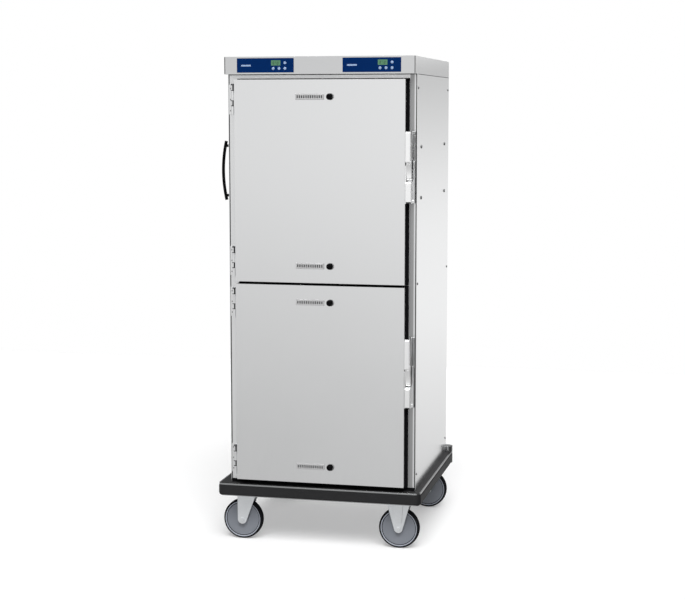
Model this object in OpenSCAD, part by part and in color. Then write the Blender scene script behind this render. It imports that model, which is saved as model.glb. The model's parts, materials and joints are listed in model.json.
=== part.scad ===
// Enclosed two-compartment meal tray cart on four casters.
// X runs across the front, the doors face -Y, Z is up. The origin is on the floor,
// under the middle of the whole cart's footprint.

/* [Cabinet] */
// Width of the cabinet body
cab_w = 740; // [670:10:900]
// Height of the control housing on top
housing_h = 66; // [60:1:120]
// Thickness of the outer sheet metal
sheet_t = 2; // [1:0.5:3]
// Depth of the folded front frame
frame_depth = 20; // [12:1:30]
// Height of the frame strip left showing under the housing
top_strip = 20; // [12:1:40]
// Height of the gap between the base and the lower door
toe_gap = 22; // [10:1:40]
// Height of the gap between the two doors
door_gap = 10; // [6:1:30]
// Depth of the space behind the insulation
rear_space = 54.5; // [40:0.5:90]

/* [Compartments] */
// Clear width of a compartment
cavity_w = 580; // [500:5:620]
// Clear height of a compartment
cavity_h = 680; // [560:5:800]
// Clear depth of a compartment behind the front frame
cavity_d = 620; // [500:5:720]
// Thickness of a compartment's sheet metal
liner_t = 1.5; // [1:0.5:2]
// Thickness of the insulation round a compartment
wool_t = 28; // [15:1:34]
// Diameter of the heating element under a compartment
heater_d = 10; // [6:1:12]
// Number of tray ledges on each rack
ledge_count = 3; // [2:1:4]
// Distance between tray ledges
ledge_pitch = 190; // [120:5:195]
// Width of a tray ledge
ledge_w = 24; // [14:1:32]
// Which ledge carries the wire shelf, counted from the bottom
shelf_ledge = 2; // [1:1:2]

/* [Doors] */
// Width of the frame left showing beside a door
stile_w = 38; // [34:1:48]
// Thickness of a door
door_t = 48; // [44:1:60]
// How far a door laps over each end of its compartment
door_lap = 45.5; // [40:0.5:60]
// Depth of the door skin's folded edge
skin_fold = 14; // [6:1:18]
// Width of the door's black edge seal
seal_w = 20; // [14:1:24]
// Depth of the soft lip that meets the frame
seal_lip = 8; // [5:1:10]
// How far the seal stands out beside the door's free edge
seal_out = 8; // [4:0.5:10]

/* [Hinges] */
// Length of a hinge
hinge_len = 114; // [90:1:150]
// Height of each of the frame leaf's two ears
hinge_ear = 31; // [20:1:36]
// Radius of a hinge knuckle
knuckle_r = 7; // [6:0.5:7.5]
// Radius of the hinge pin
hinge_pin_r = 3.5; // [2.5:0.5:4]
// Distance from a door's end to its hinge
hinge_inset = 18; // [10:1:60]
// Distance of the hinge pin behind the door's front
hinge_back = 12; // [9:1:14]

/* [Latches] */
// Length of the latch body below the lever
latch_body_h = 83; // [60:1:120]
// Length of the lever above its body
lever_h = 187; // [150:1:230]
// Length of the lever's grip
grip_h = 114; // [80:1:130]
// Width of the latch across the front
latch_w = 20; // [16:1:22]
// How far the grip stands in front of the door
grip_reach = 22; // [16:1:32]
// Radius of the lever's pivot
lever_pin_r = 4; // [3:0.5:5]

/* [Door vents] */
// Length of a vent bar
vent_len = 112; // [80:1:150]
// Height of a vent bar
vent_h = 23; // [20:1:30]
// Distance from a door's end to its vent
vent_inset = 65; // [55:1:100]
// Where the vent bar's middle lies across the door
vent_x = -35; // [-120:1:60]
// Number of air slots in a vent
slot_count = 12; // [6:1:13]
// Width of an air slot
slot_w = 4; // [3:0.1:4.2]
// Height of an air slot
slot_h = 11; // [6:0.5:13]
// Diameter of a vent's knob
knob_d = 24; // [14:1:30]
// Travel of a vent's shutter
vent_travel = 4.3; // [3.5:0.1:5]

/* [Controls] */
// Width of a control panel
panel_w = 223; // [200:1:260]
// Height of a control panel
panel_h = 54; // [48:1:58]
// Distance of the left control panel from the left side
panel_in_left = 50.5; // [20:0.5:90]
// Distance of the right control panel from the right side
panel_in_right = 54.5; // [20:0.5:90]
// Width of a display
display_w = 37; // [24:1:60]
// Height of a display
display_h = 20; // [12:1:24]
// Diameter of a key
key_d = 11; // [7:0.5:12]
// Travel of a key
key_travel = 1; // [0.6:0.1:1.5]

/* [Push handles] */
// Distance between a handle's two feet
handle_feet = 194; // [120:1:260]
// How far a handle's ends reach past its feet
handle_over = 18; // [8:1:40]
// Distance of a handle's ends from the side
handle_end_out = 35; // [28:1:60]
// How far a handle bows out at its middle
handle_bow = 13; // [6:1:40]
// Diameter of a handle's bar
handle_bar_d = 12; // [9:1:22]
// Height of a handle's middle above the floor
handle_z = 1464; // [900:2:1600]
// Distance of the front handle from the front
handle_front = 84; // [60:1:200]
// Distance of the rear handle from the rear
handle_rear = 101; // [60:1:200]

/* [Base and bumper] */
// Height of the base frame
base_h = 40; // [30:1:60]
// Thickness of the base's steel
base_t = 3; // [2:0.5:5]
// Height of the bumper
bumper_h = 50; // [44:1:70]
// How far the bumper reaches past the left side
bumper_left = 45; // [30:1:60]
// How far the bumper reaches past the right side
bumper_right = 26; // [20:1:60]
// How far the bumper reaches past the front and the rear
bumper_ends = 43; // [30:1:60]
// Thickness of the bumper, from the base's side to its face
bumper_t = 18; // [14:0.5:19]
// Radius of the bumper's corners
bumper_r = 24; // [20:1:30]
// Thickness of the bumper's top lip
lip_t = 6; // [3:0.5:10]
// Height of the rear corner guards above the base
guard_rise = 22; // [8:1:40]

/* [Casters] */
// Diameter of a wheel
wheel_d = 160; // [125:1:200]
// Width of a wheel's tread
tread_w = 36; // [26:1:44]
// Diameter of an axle
axle_d = 10; // [8:1:14]
// Distance of a swivel caster's axle behind its pivot
trail = 37; // [20:1:60]
// Distance of the casters' middle inside the cabinet's sides
caster_in_side = 72; // [65:1:110]
// Distance of the front casters' middle behind the cabinet's front
caster_in_front = 51; // [40:1:120]
// Distance of the rear casters' middle in front of the cabinet's rear
caster_in_rear = 21; // [20:1:120]
// Height from the axle to the base
caster_rise = 120; // [112:1:140]
// Thickness of a fork's leg
leg_t = 4; // [3:0.5:6]

/* [Hidden] */
$fn = 48;
run_gap = 0.05;         // radial play of a pin in its bore
slide_gap = 0.3;        // play beside a sliding piece
seat_gap = 0.4;         // play under a turning piece

door_h = cavity_h + 2 * door_lap;
cab_h = 2 * door_h + top_strip + toe_gap + door_gap;
cab_d = frame_depth + cavity_d + liner_t + wool_t + rear_space + sheet_t;
half_w = cab_w / 2;
half_d = cab_d / 2;
base_z = wheel_d / 2 + caster_rise;
cab_z = base_z + base_h;
top_z = cab_z + cab_h;
front_y = -half_d;
door_y = front_y - door_t;
bumper_z = cab_z - bumper_h;

handle_reach = handle_end_out + handle_bow + handle_bar_d / 2;
left_reach = max(handle_reach, bumper_left);
front_reach = max(door_t + grip_reach, bumper_ends);
off_x = (left_reach - bumper_right) / 2;
off_y = (front_reach - bumper_ends) / 2;

door_w = cab_w - 2 * stile_w;
lower_mid = cab_z + toe_gap + door_h / 2;
upper_mid = lower_mid + door_h + door_gap;
mids = [upper_mid, lower_mid];

cavity_y = front_y + frame_depth;
liner_w = cavity_w + 2 * liner_t;
liner_h = cavity_h + 2 * liner_t;

hinge_y = door_y + hinge_back;
hinge_x = -door_w / 2 - knuckle_r - 2;
leaf_t = 3;

latch_x = door_w / 2;
plate_t = 4;
body_reach = 10;
split_up = 5;           // the latch's split line lies this far above the door's middle
lever_x = latch_x + plate_t + slide_gap;
lever_w = latch_w - 2 * slide_gap;
pivot_y = door_y + 14;
pivot_up = 13;
strike_t = 14;

panel_t = 1.2;
key_out = 1.6;
key_play = 0.3;
housing_mid = top_z + housing_h / 2;
panel_left_x = -half_w + panel_in_left + panel_w / 2;
panel_right_x = half_w - panel_in_right - panel_w / 2;
panels = [panel_left_x, panel_right_x];
display_at = panel_w / 2 - 70;
key_up = 9;
key_spots = [for (i = [0:2]) [display_at - 10 + 23 * i, -key_up - 3], [display_at + 36, key_up]];

vent_signs = [1, -1];
vent_rise = door_h / 2 - vent_inset;
vent_bar_t = 4;
knob_x = vent_x + vent_len / 2 + 9 + knob_d / 2;
slot_pitch = vent_len / (slot_count + 1);
shutter_t = 1.5;
shutter_h = slot_h + 10;

handle_ys = [-half_d + handle_front, half_d - handle_rear];
handle_chord = handle_feet + 2 * handle_over;
handle_r = (pow(handle_chord / 2, 2) + pow(handle_bow, 2)) / (2 * handle_bow);
handle_angle = asin(handle_chord / 2 / handle_r);

rack_z = -cavity_h / 2 + 60;
shelf_z = rack_z + (shelf_ledge - 1) * ledge_pitch + 2;
ledge_t = 2;
upright_t = 3;
hook_gap = 0.2;         // play where a ledge hooks onto its uprights

fork_gap = tread_w + 8;
fork_w = fork_gap + 2 * leg_t;
crown_r = 37;
kingpin_r = 7;
plate_x = 110;
plate_y = 84;
caster_plate_t = 5;
race_z = base_z - 17;
crown_z = race_z - seat_gap;
crown_t = 9;
caster_x = half_w - caster_in_side;
function caster_y(side) = side < 0 ? -half_d + caster_in_front : half_d - caster_in_rear;

// Helpers

// Moves the cart from its cabinet's middle to its footprint's middle.
module place() translate([off_x, off_y, 0]) children();

// A box given by its low corner and its high corner.
module span(lo, hi) translate(lo) cube([for (i = [0:2]) hi[i] - lo[i]]);

// A box centred on X at a place, from one Y and Z to another.
module bar(x, w, y0, y1, z0, z1) span([x - w / 2, y0, z0], [x + w / 2, y1, z1]);

// A cylinder along Y, from y0 to y1.
module rod_y(x, z, r, y0, y1) translate([x, y0, z]) rotate([-90, 0, 0]) cylinder(r = r, h = y1 - y0);

// A cylinder along X, from x0 to x1.
module rod_x(y, z, r, x0, x1) translate([x0, y, z]) rotate([0, 90, 0]) cylinder(r = r, h = x1 - x0);

// A cylinder along Z, from z0 to z1.
module rod_z(x, y, r, z0, z1) translate([x, y, z0]) cylinder(r = r, h = z1 - z0);

// A rectangle with true round corners.
module round_rect(lo, hi, r) {
    translate([lo[0] + r, lo[1]]) square([hi[0] - lo[0] - 2 * r, hi[1] - lo[1]]);
    translate([lo[0], lo[1] + r]) square([hi[0] - lo[0], hi[1] - lo[1] - 2 * r]);
    for (x = [lo[0] + r, hi[0] - r], y = [lo[1] + r, hi[1] - r]) translate([x, y]) circle(r = r);
}

// The bumper's outline, drawn in by a distance.
module bumper_outline(inward) {
    round_rect([-half_w - bumper_left + inward, -half_d - bumper_ends + inward],
        [half_w + bumper_right - inward, half_d + bumper_ends - inward], bumper_r - inward);
}

// The cabinet's footprint, grown by a distance.
module footprint(grow) square([cab_w + 2 * grow, cab_d + 2 * grow], center = true);

// The base's outline, inside the bumper, drawn in by a distance.
module base_outline(inward) {
    w = bumper_t + inward;
    translate([-half_w - bumper_left + w, -half_d - bumper_ends + w])
        square([cab_w + bumper_left + bumper_right - 2 * w, cab_d + 2 * bumper_ends - 2 * w]);
}

// Base and bumper

// A pan that is open below, with a plate at each corner for its caster.
module base_frame() {
    margin = 12;
    in_x = caster_x - plate_x / 2 - margin;
    in_y = [caster_y(-1) + plate_y / 2 + margin, caster_y(1) - plate_y / 2 - margin];
    color("silver") place() difference() {
        translate([0, 0, base_z]) linear_extrude(base_h) base_outline(0);
        translate([0, 0, base_z + base_t]) linear_extrude(base_h - 2 * base_t) base_outline(base_t);
        translate([0, 0, base_z - 1]) linear_extrude(base_t + 2) intersection() {
            base_outline(base_t);
            union() {
                square([2 * in_x, 2 * cab_d], center = true);
                translate([-cab_w, in_y[0]]) square([2 * cab_w, in_y[1] - in_y[0]]);
            }
        }
    }
}

web_t = 3;
lower_lip = 4;

// A round post in each rear corner of the bumper.
module guard_posts(grow, z0, z1) {
    out_y = half_d + bumper_ends - bumper_r;
    for (x = [-half_w - bumper_left + bumper_r, half_w + bumper_right - bumper_r])
        rod_z(x, out_y, bumper_r + grow, z0, z1);
}

module bumper_rail() {
    color("silver") place() difference() {
        union() {
            translate([0, 0, cab_z - lip_t]) linear_extrude(lip_t) bumper_outline(1.5);
            translate([0, 0, bumper_z]) linear_extrude(bumper_h - lip_t) base_outline(-web_t);
            translate([0, 0, bumper_z]) linear_extrude(lower_lip) bumper_outline(7);
            guard_posts(0, bumper_z, cab_z + guard_rise);
        }
        translate([0, 0, bumper_z - 1]) linear_extrude(bumper_h + 1) base_outline(0);
        translate([0, 0, cab_z - 1]) linear_extrude(guard_rise + 2) footprint(0);
    }
}

module bumper_vinyl() {
    low = bumper_z + lower_lip;
    high = cab_z - lip_t;
    round_off = 5;
    color("dimgray") place() difference() {
        union() {
            translate([0, 0, low]) linear_extrude(high - low) bumper_outline(1.5);
            translate([0, 0, low + round_off]) linear_extrude(high - low - 2 * round_off) bumper_outline(0);
        }
        translate([0, 0, low - 1]) linear_extrude(high - low + 2) base_outline(-web_t);
        guard_posts(slide_gap, low - 1, high + 1);
    }
}

// Cabinet shell

module side_panels() {
    color("gainsboro") place() for (side = [-1, 1]) {
        x0 = side < 0 ? -half_w : half_w - sheet_t;
        difference() {
            union() {
                span([x0, -half_d, cab_z], [x0 + sheet_t, half_d, top_z]);
                for (y = [-half_d + 40, half_d - 40 - 12])
                    span([side < 0 ? x0 + sheet_t : x0 - 10, y, cab_z],
                        [side < 0 ? x0 + sheet_t + 10 : x0, y + 12, top_z - 20]);
            }
            for (y = handle_ys, z = [-1, 1])
                rod_x(y, handle_z + z * handle_feet / 2, 3.3, x0 - 1, x0 + sheet_t + 1);
        }
    }
}

inlet_x = 230;
inlet_z = cab_z + 110;
inlet_w = 30;
inlet_h = 24;
inlet_depth = 24;
louvre_w = 110;
louvre_h = 4;
louvre_pitch = 12;

module rear_panel() {
    y1 = half_d;
    color("gainsboro") place() difference() {
        bar(0, cab_w - 2 * sheet_t, y1 - sheet_t, y1, cab_z, top_z);
        for (row = [0:5]) translate([0, 0, cab_z + 70 + row * louvre_pitch])
            bar(-half_w / 2, louvre_w, y1 - sheet_t - 1, y1 + 1, 0, louvre_h);
    }
}

module front_frame() {
    w = cab_w - 2 * sheet_t;
    y1 = front_y + frame_depth;
    color("gainsboro") place() difference() {
        bar(0, w, front_y, y1, cab_z, top_z);
        difference() {
            bar(0, w - 2 * sheet_t, front_y + sheet_t, y1 + 1, cab_z + sheet_t, top_z - sheet_t);
            for (m = mids) bar(0, liner_w, front_y, y1 + 2, m - liner_h / 2, m + liner_h / 2);
        }
        for (m = mids) bar(0, cavity_w, front_y - 1, y1 + 3, m - cavity_h / 2, m + cavity_h / 2);
    }
}

// Compartments

module cavity(m) {
    y1 = cavity_y + cavity_d;
    color("lightgray") place() difference() {
        bar(0, liner_w, cavity_y, y1 + liner_t, m - liner_h / 2, m + liner_h / 2);
        bar(0, cavity_w, cavity_y - 1, y1, m - cavity_h / 2, m + cavity_h / 2);
    }
}

module upper_cavity() cavity(upper_mid);
module lower_cavity() cavity(lower_mid);

module insulation() {
    y1 = cavity_y + cavity_d + liner_t;
    color("khaki") place() for (m = mids) difference() {
        bar(0, liner_w + 2 * wool_t, cavity_y, y1 + wool_t,
            m - liner_h / 2 - heater_d - wool_t, m + liner_h / 2 + wool_t);
        bar(0, liner_w, cavity_y - 1, y1, m - liner_h / 2 - heater_d, m + liner_h / 2);
    }
}

// One heating element: straight runs along Y joined by half turns.
module heater(m) {
    runs = 4;
    pitch = (cavity_w - 60) / runs;
    reach = (cavity_d - pitch) / 2 - 15;
    mid_y = cavity_y + cavity_d / 2;
    z = m - liner_h / 2 - heater_d / 2;
    for (i = [0:runs - 1]) rod_y((i - (runs - 1) / 2) * pitch, z, heater_d / 2, mid_y - reach, mid_y + reach);
    for (i = [0:runs - 2]) {
        far = i % 2 == 0 ? 1 : -1;
        translate([(i - runs / 2 + 1) * pitch, mid_y + far * reach, z]) rotate([0, 0, far > 0 ? 0 : 180])
            rotate_extrude(angle = 180) translate([pitch / 2, 0]) circle(r = heater_d / 2);
    }
}

module heating_elements() color("darkgray") place() for (m = mids) heater(m);

// One rack: two uprights on the compartment's wall, and the angle ledges that hook onto them.
module rack(side, m) {
    wall = side * cavity_w / 2;
    y0 = cavity_y + 24;
    y1 = cavity_y + cavity_d - 12;
    foot = m + rack_z - 30;
    head = m + rack_z + (ledge_count - 1) * ledge_pitch + 26;
    for (y = [y0 + 40, y1 - 70])
        span([min(wall, wall - side * upright_t), y, foot], [max(wall, wall - side * upright_t), y + 30, head]);
    inner = wall - side * (upright_t + hook_gap);
    for (i = [0:ledge_count - 1]) {
        z = m + rack_z + i * ledge_pitch;
        span([min(inner, wall - side * ledge_w), y0, z], [max(inner, wall - side * ledge_w), y1, z + ledge_t]);
        span([min(inner, inner - side * ledge_t), y0, z], [max(inner, inner - side * ledge_t), y1, z + 14]);
    }
}

module side_racks() color("silver") place() for (side = [-1, 1], m = mids) rack(side, m);

// A wire shelf that slides on one pair of ledges.
module shelf(m) {
    w = cavity_w - 2 * (upright_t + hook_gap + ledge_t + 1.3);
    d = cavity_d - 60;
    rim = 8;
    wires = 19;
    wire_w = 4;
    z = m + shelf_z;
    color("silver") place() translate([0, cavity_y + 28, z]) linear_extrude(6) difference() {
        translate([-w / 2, 0]) square([w, d]);
        for (i = [0:wires]) {
            step = (w - 2 * rim + wire_w) / (wires + 1);
            for (j = [0:2]) {
                run = (d - 4 * rim) / 3;
                translate([-w / 2 + rim + i * step, rim + j * (run + rim)]) square([step - wire_w, run]);
            }
        }
    }
}

module upper_shelf() shelf(upper_mid);
module lower_shelf() shelf(lower_mid);

// Control housing

module top_cover() {
    color("gainsboro") place() difference() {
        bar(0, cab_w, door_y + sheet_t, half_d, top_z, top_z + housing_h);
        bar(0, cab_w - 2 * sheet_t, door_y, half_d - sheet_t, top_z + sheet_t, top_z + housing_h - sheet_t);
    }
}

module control_fascia() {
    color("gainsboro") place() difference() {
        bar(0, cab_w, door_y, door_y + sheet_t, top_z, top_z + housing_h);
        for (x = panels) {
            bar(x + display_at, display_w, door_y - 1, door_y + sheet_t + 1,
                housing_mid + key_up - display_h / 2, housing_mid + key_up + display_h / 2);
            for (k = key_spots)
                rod_y(x + k[0], housing_mid + k[1], key_d / 2 + key_play, door_y - 1, door_y + sheet_t + 1);
        }
    }
}

module control_panels() {
    color("midnightblue") place() for (x = panels) difference() {
        bar(x, panel_w, door_y - panel_t, door_y, housing_mid - panel_h / 2, housing_mid + panel_h / 2);
        bar(x + display_at, display_w, door_y - panel_t - 1, door_y + 1,
            housing_mid + key_up - display_h / 2, housing_mid + key_up + display_h / 2);
        for (k = key_spots)
            rod_y(x + k[0], housing_mid + k[1], key_d / 2 + key_play, door_y - panel_t - 1, door_y + 1);
    }
}

module controllers() {
    back = door_y + sheet_t + 5;
    color("seagreen") place() for (x = panels) {
        bar(x + display_at, display_w, door_y - panel_t + 0.4, back,
            housing_mid + key_up - display_h / 2, housing_mid + key_up + display_h / 2);
        bar(x + 20, panel_w - 60, back, back + 70, housing_mid - 25, housing_mid + 25);
        for (s = [-1, 1])
            rod_y(x + 20 + s * (panel_w / 2 - 40), housing_mid - 16, 5, door_y + sheet_t, back);
    }
}

module key(x, i) {
    k = key_spots[i];
    color("whitesmoke") place() {
        rod_y(x + k[0], housing_mid + k[1], key_d / 2, door_y - panel_t - key_out, door_y + 1);
        rod_y(x + k[0], housing_mid + k[1], key_d / 4, door_y + 1, door_y + sheet_t + 5 - key_travel);
    }
}

module left_key_1() key(panel_left_x, 0);
module left_key_2() key(panel_left_x, 1);
module left_key_3() key(panel_left_x, 2);
module left_key_4() key(panel_left_x, 3);
module right_key_1() key(panel_right_x, 0);
module right_key_2() key(panel_right_x, 1);
module right_key_3() key(panel_right_x, 2);
module right_key_4() key(panel_right_x, 3);

// Screws, handles, inlet

screw_rows = [top_z - 52, (cab_z + top_z) / 2 + 6, cab_z + 64];

module panel_screws() {
    color("dimgray") place() {
        for (side = [-1, 1], y = [-half_d + 16, half_d - 22], z = screw_rows)
            translate([side * half_w, y, z]) rotate([0, side * 90, 0]) cylinder(r1 = 5, r2 = 3.5, h = 2.5);
        for (y = handle_ys, z = [-1, 1])
            translate([half_w, y, handle_z + z * handle_feet / 2]) rotate([0, 90, 0]) {
                cylinder(r1 = 7, r2 = 5.5, h = 3);
                translate([0, 0, -sheet_t]) cylinder(r = 3.3, h = sheet_t);
            }
        for (x = [-1, 1], z = screw_rows)
            translate([x * (half_w - 16), half_d, z]) rotate([-90, 0, 0]) cylinder(r1 = 5, r2 = 3.5, h = 2.5);
    }
}

// A bowed bar on two feet, in the X-Z plane at a given Y.
module push_handle(y) {
    bar_r = handle_bar_d / 2;
    end_x = -half_w - handle_end_out;
    mid_x = end_x - handle_bow + handle_r;
    translate([mid_x, y, handle_z]) rotate([90, 0, 0]) rotate([0, 0, 180 - handle_angle])
        rotate_extrude(angle = 2 * handle_angle, $fn = 96) translate([handle_r, 0]) circle(r = bar_r);
    for (z = [-1, 1]) {
        foot_z = handle_z + z * handle_feet / 2;
        sag = handle_r - sqrt(pow(handle_r, 2) - pow(handle_feet / 2, 2));
        foot_x = end_x - handle_bow + sag;
        rod_x(y, foot_z, bar_r * 0.9, foot_x, -half_w - 3);
        rod_x(y, foot_z, bar_r + 5, -half_w - 4, -half_w);
        rod_x(y, foot_z, 3.3, -half_w - 1, -half_w + sheet_t);
    }
}

module push_handles() color("black") place() for (y = handle_ys) push_handle(y);

// A surface-mounted inlet on the rear panel: a foot, a shroud and three flat pins.
module mains_inlet() {
    y1 = half_d;
    wall = 7;
    foot_t = 4;
    back = y1 + foot_t;
    mouth = back + inlet_depth;
    color("black") place() translate([inlet_x, 0, inlet_z]) {
        difference() {
            union() {
                bar(0, inlet_w + 4 * wall, y1, back, -inlet_h / 2 - wall, inlet_h / 2 + wall);
                bar(0, inlet_w + 2 * wall, y1, mouth, -inlet_h / 2 - wall, inlet_h / 2 + wall);
            }
            bar(0, inlet_w, back, mouth + 1, -inlet_h / 2, inlet_h / 2);
        }
        for (x = [-inlet_w / 3, 0, inlet_w / 3]) bar(x, 2, back - 0.5, mouth - 6, -inlet_h / 6, inlet_h / 6);
    }
}

// Hinges and strikes

function hinge_starts(m) = [m + door_h / 2 - hinge_inset - hinge_len, m - door_h / 2 + hinge_inset];

module hinge_frame_leaves() {
    color("silver") place() for (m = mids, z = hinge_starts(m)) difference() {
        union() {
            span([-half_w + 4, front_y - leaf_t, z], [hinge_x + knuckle_r, front_y, z + hinge_len]);
            for (ear = [z, z + hinge_len - hinge_ear]) {
                span([hinge_x - knuckle_r, hinge_y, ear], [hinge_x + knuckle_r, front_y - 1, ear + hinge_ear]);
                rod_z(hinge_x, hinge_y, knuckle_r, ear, ear + hinge_ear);
            }
        }
        rod_z(hinge_x, hinge_y, hinge_pin_r, z - 1, z + hinge_len + 1);
    }
}

module hinge_pins() {
    color("gray") place() for (m = mids, z = hinge_starts(m)) {
        rod_z(hinge_x, hinge_y, hinge_pin_r, z, z + hinge_len);
        rod_z(hinge_x, hinge_y, hinge_pin_r + 2.5, z + hinge_len, z + hinge_len + 3);
    }
}

module door_leaves(m) {
    color("silver") place() for (z = hinge_starts(m)) difference() {
        union() {
            rod_z(hinge_x, hinge_y, knuckle_r, z + hinge_ear + seat_gap, z + hinge_len - hinge_ear - seat_gap);
            span([hinge_x, hinge_y - 2, z + hinge_ear + seat_gap],
                [-door_w / 2, hinge_y + 2, z + hinge_len - hinge_ear - seat_gap]);
            span([-door_w / 2 - 2, door_y + 2, z + hinge_ear + seat_gap],
                [-door_w / 2, front_y - 12, z + hinge_len - hinge_ear - seat_gap]);
        }
        rod_z(hinge_x, hinge_y, hinge_pin_r + run_gap, z, z + hinge_len);
    }
}

module upper_door_leaves() door_leaves(upper_mid);
module lower_door_leaves() door_leaves(lower_mid);

module latch_strikes() {
    color("silver") place() for (m = mids) {
        z = m + split_up;
        x0 = latch_x + seal_out + 6;
        difference() {
            union() {
                span([x0, front_y - strike_t, z - latch_body_h], [half_w - 5, front_y, z + 74]);
                span([x0 + 4, front_y - 3, z + 74], [half_w - 5, front_y, z + lever_h]);
            }
            span([x0 + 5, front_y - strike_t - 1, z - latch_body_h + 12],
                [half_w - 10, front_y - strike_t + 3, z + 62]);
        }
    }
}

// Doors

module door_skin(m) {
    z0 = m - door_h / 2;
    z1 = m + door_h / 2;
    color("gainsboro") place() difference() {
        union() {
            difference() {
                bar(0, door_w, door_y, door_y + skin_fold, z0, z1);
                bar(0, door_w - 2 * sheet_t, door_y + sheet_t, door_y + skin_fold + 1, z0 + sheet_t, z1 - sheet_t);
            }
            for (s = vent_signs) translate([0, 0, m + s * vent_rise]) vent_rails();
        }
        for (s = vent_signs) translate([0, 0, m + s * vent_rise]) {
            vent_slots(door_y - 1, door_y + sheet_t + 1);
            span([knob_x - 3.5, door_y - 1, -3.5], [knob_x + vent_travel + 3.5, door_y + sheet_t + 1, 3.5]);
        }
    }
}

// The air slots, between two depths.
module vent_slots(y0, y1) {
    for (i = [0:slot_count - 1])
        bar(vent_x + (i - (slot_count - 1) / 2) * slot_pitch, slot_w, y0, y1, -slot_h / 2, slot_h / 2);
}

// The two guides behind the skin that the shutter slides in.
module vent_rails() {
    back = door_y + sheet_t;
    len = vent_len + 2 * knob_d;
    for (s = [-1, 1]) {
        in_z = s * (shutter_h / 2 + slide_gap);
        out_z = s * (shutter_h / 2 + 4);
        hook_z = s * (shutter_h / 2 - 3);
        y1 = back + shutter_t + 2 * slide_gap;
        bar(vent_x, len, back - 0.5, y1 + 1.5, min(in_z, out_z), max(in_z, out_z));
        bar(vent_x, len, y1, y1 + 1.5, min(hook_z, out_z), max(hook_z, out_z));
    }
}

module vent_bars(m) {
    color("gray") place() for (s = vent_signs) translate([0, 0, m + s * vent_rise]) difference() {
        union() {
            bar(vent_x, vent_len - 4, door_y - vent_bar_t, door_y, -vent_h / 2 + 2, vent_h / 2 - 2);
            bar(vent_x, vent_len, door_y - 1.5, door_y, -vent_h / 2, vent_h / 2);
        }
        vent_slots(door_y - vent_bar_t - 1, door_y + 1);
    }
}

module shutter(m, s) {
    back = door_y + sheet_t + slide_gap;
    end_x = knob_x + 8;
    start_x = vent_x - vent_len / 2;
    color("dimgray") place() translate([0, 0, m + s * vent_rise]) {
        difference() {
            span([start_x, back, -shutter_h / 2], [end_x, back + shutter_t, shutter_h / 2]);
            vent_slots(back - 1, back + shutter_t + 1);
        }
        rod_y(knob_x, 0, 3, door_y - 2, back + 0.5);
        rod_y(knob_x, 0, knob_d / 2, door_y - 7, door_y - 1);
        translate([knob_x, door_y - 12, 0]) rotate([-90, 0, 0])
            cylinder(r1 = knob_d / 2 - 4, r2 = knob_d / 2 - 1, h = 6);
    }
}

// A ring round the door's edge, with a soft lip on the frame that stands out beside the
// door, and a little above it and below it.
module door_seal(m, foot) {
    z0 = m - door_h / 2;
    z1 = m + door_h / 2;
    body_w = 12;
    head = door_gap / 2 - 1;
    y0 = door_y + skin_fold;
    y1 = front_y - seal_lip;
    color("black") place() difference() {
        union() {
            bar(0, door_w, y0, y1, z0, z1);
            span([-door_w / 2 + 2, front_y - strike_t + 0.5, z0 - foot],
                [door_w / 2 + seal_out, front_y, z1 + head]);
        }
        bar(0, door_w - 2 * body_w, y0 - 1, y1, z0 + body_w, z1 - body_w);
        bar(0, door_w - 2 * seal_w, y0 - 1, front_y + 1, z0 + seal_w, z1 - seal_w);
    }
}

module door_liner(m) {
    z0 = m - door_h / 2 + 12;
    z1 = m + door_h / 2 - 12;
    y0 = door_y + skin_fold;
    y1 = front_y - seal_lip;
    color("lightgray") place() {
        difference() {
            bar(0, door_w - 24, y0, y1, z0, z1);
            bar(0, door_w - 24 - 2 * liner_t, y0 - 1, y1 - liner_t, z0 + liner_t, z1 - liner_t);
            for (s = vent_signs) translate([0, 0, m + s * vent_rise]) vent_slots(y1 - liner_t - 1, y1 + 1);
        }
    }
}

module latch_body(m) {
    z = m + split_up;
    front = door_y - body_reach;
    color("silver") place() {
        span([latch_x, door_y + 4, z - latch_body_h], [latch_x + plate_t, door_y + 34, z + 60]);
        translate([latch_x + plate_t, 0, z]) rotate([90, 0, 90]) linear_extrude(latch_w)
            polygon([[door_y + 2, 0], [front, -7], [front, 7 - latch_body_h], [door_y + 2, -latch_body_h],
                [front_y - strike_t, -latch_body_h], [front_y - strike_t, 0]]);
        rod_x(pivot_y, z + pivot_up, lever_pin_r, latch_x + plate_t, latch_x + plate_t + latch_w - 1);
    }
}

// The lever: a hub on the pivot, a tapered neck and a flat grip.
module latch_lever(m) {
    z = m + split_up;
    neck = lever_h - grip_h;
    front = door_y - grip_reach;
    hub_r = 10;
    color("gainsboro") place() difference() {
        union() {
            rod_x(pivot_y, z + pivot_up, hub_r, lever_x, lever_x + lever_w);
            translate([lever_x, 0, z]) rotate([90, 0, 90]) linear_extrude(lever_w)
                polygon([[pivot_y - hub_r + 1, pivot_up], [door_y - 6, neck - 6], [front, neck],
                    [front, lever_h - 5], [front + 5, lever_h], [front + 12, lever_h],
                    [door_y - 4, lever_h - 12], [door_y + 8, neck], [pivot_y + hub_r - 2, pivot_up]]);
        }
        rod_x(pivot_y, z + pivot_up, lever_pin_r + run_gap, lever_x - 1, lever_x + lever_w + 1);
    }
}

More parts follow.
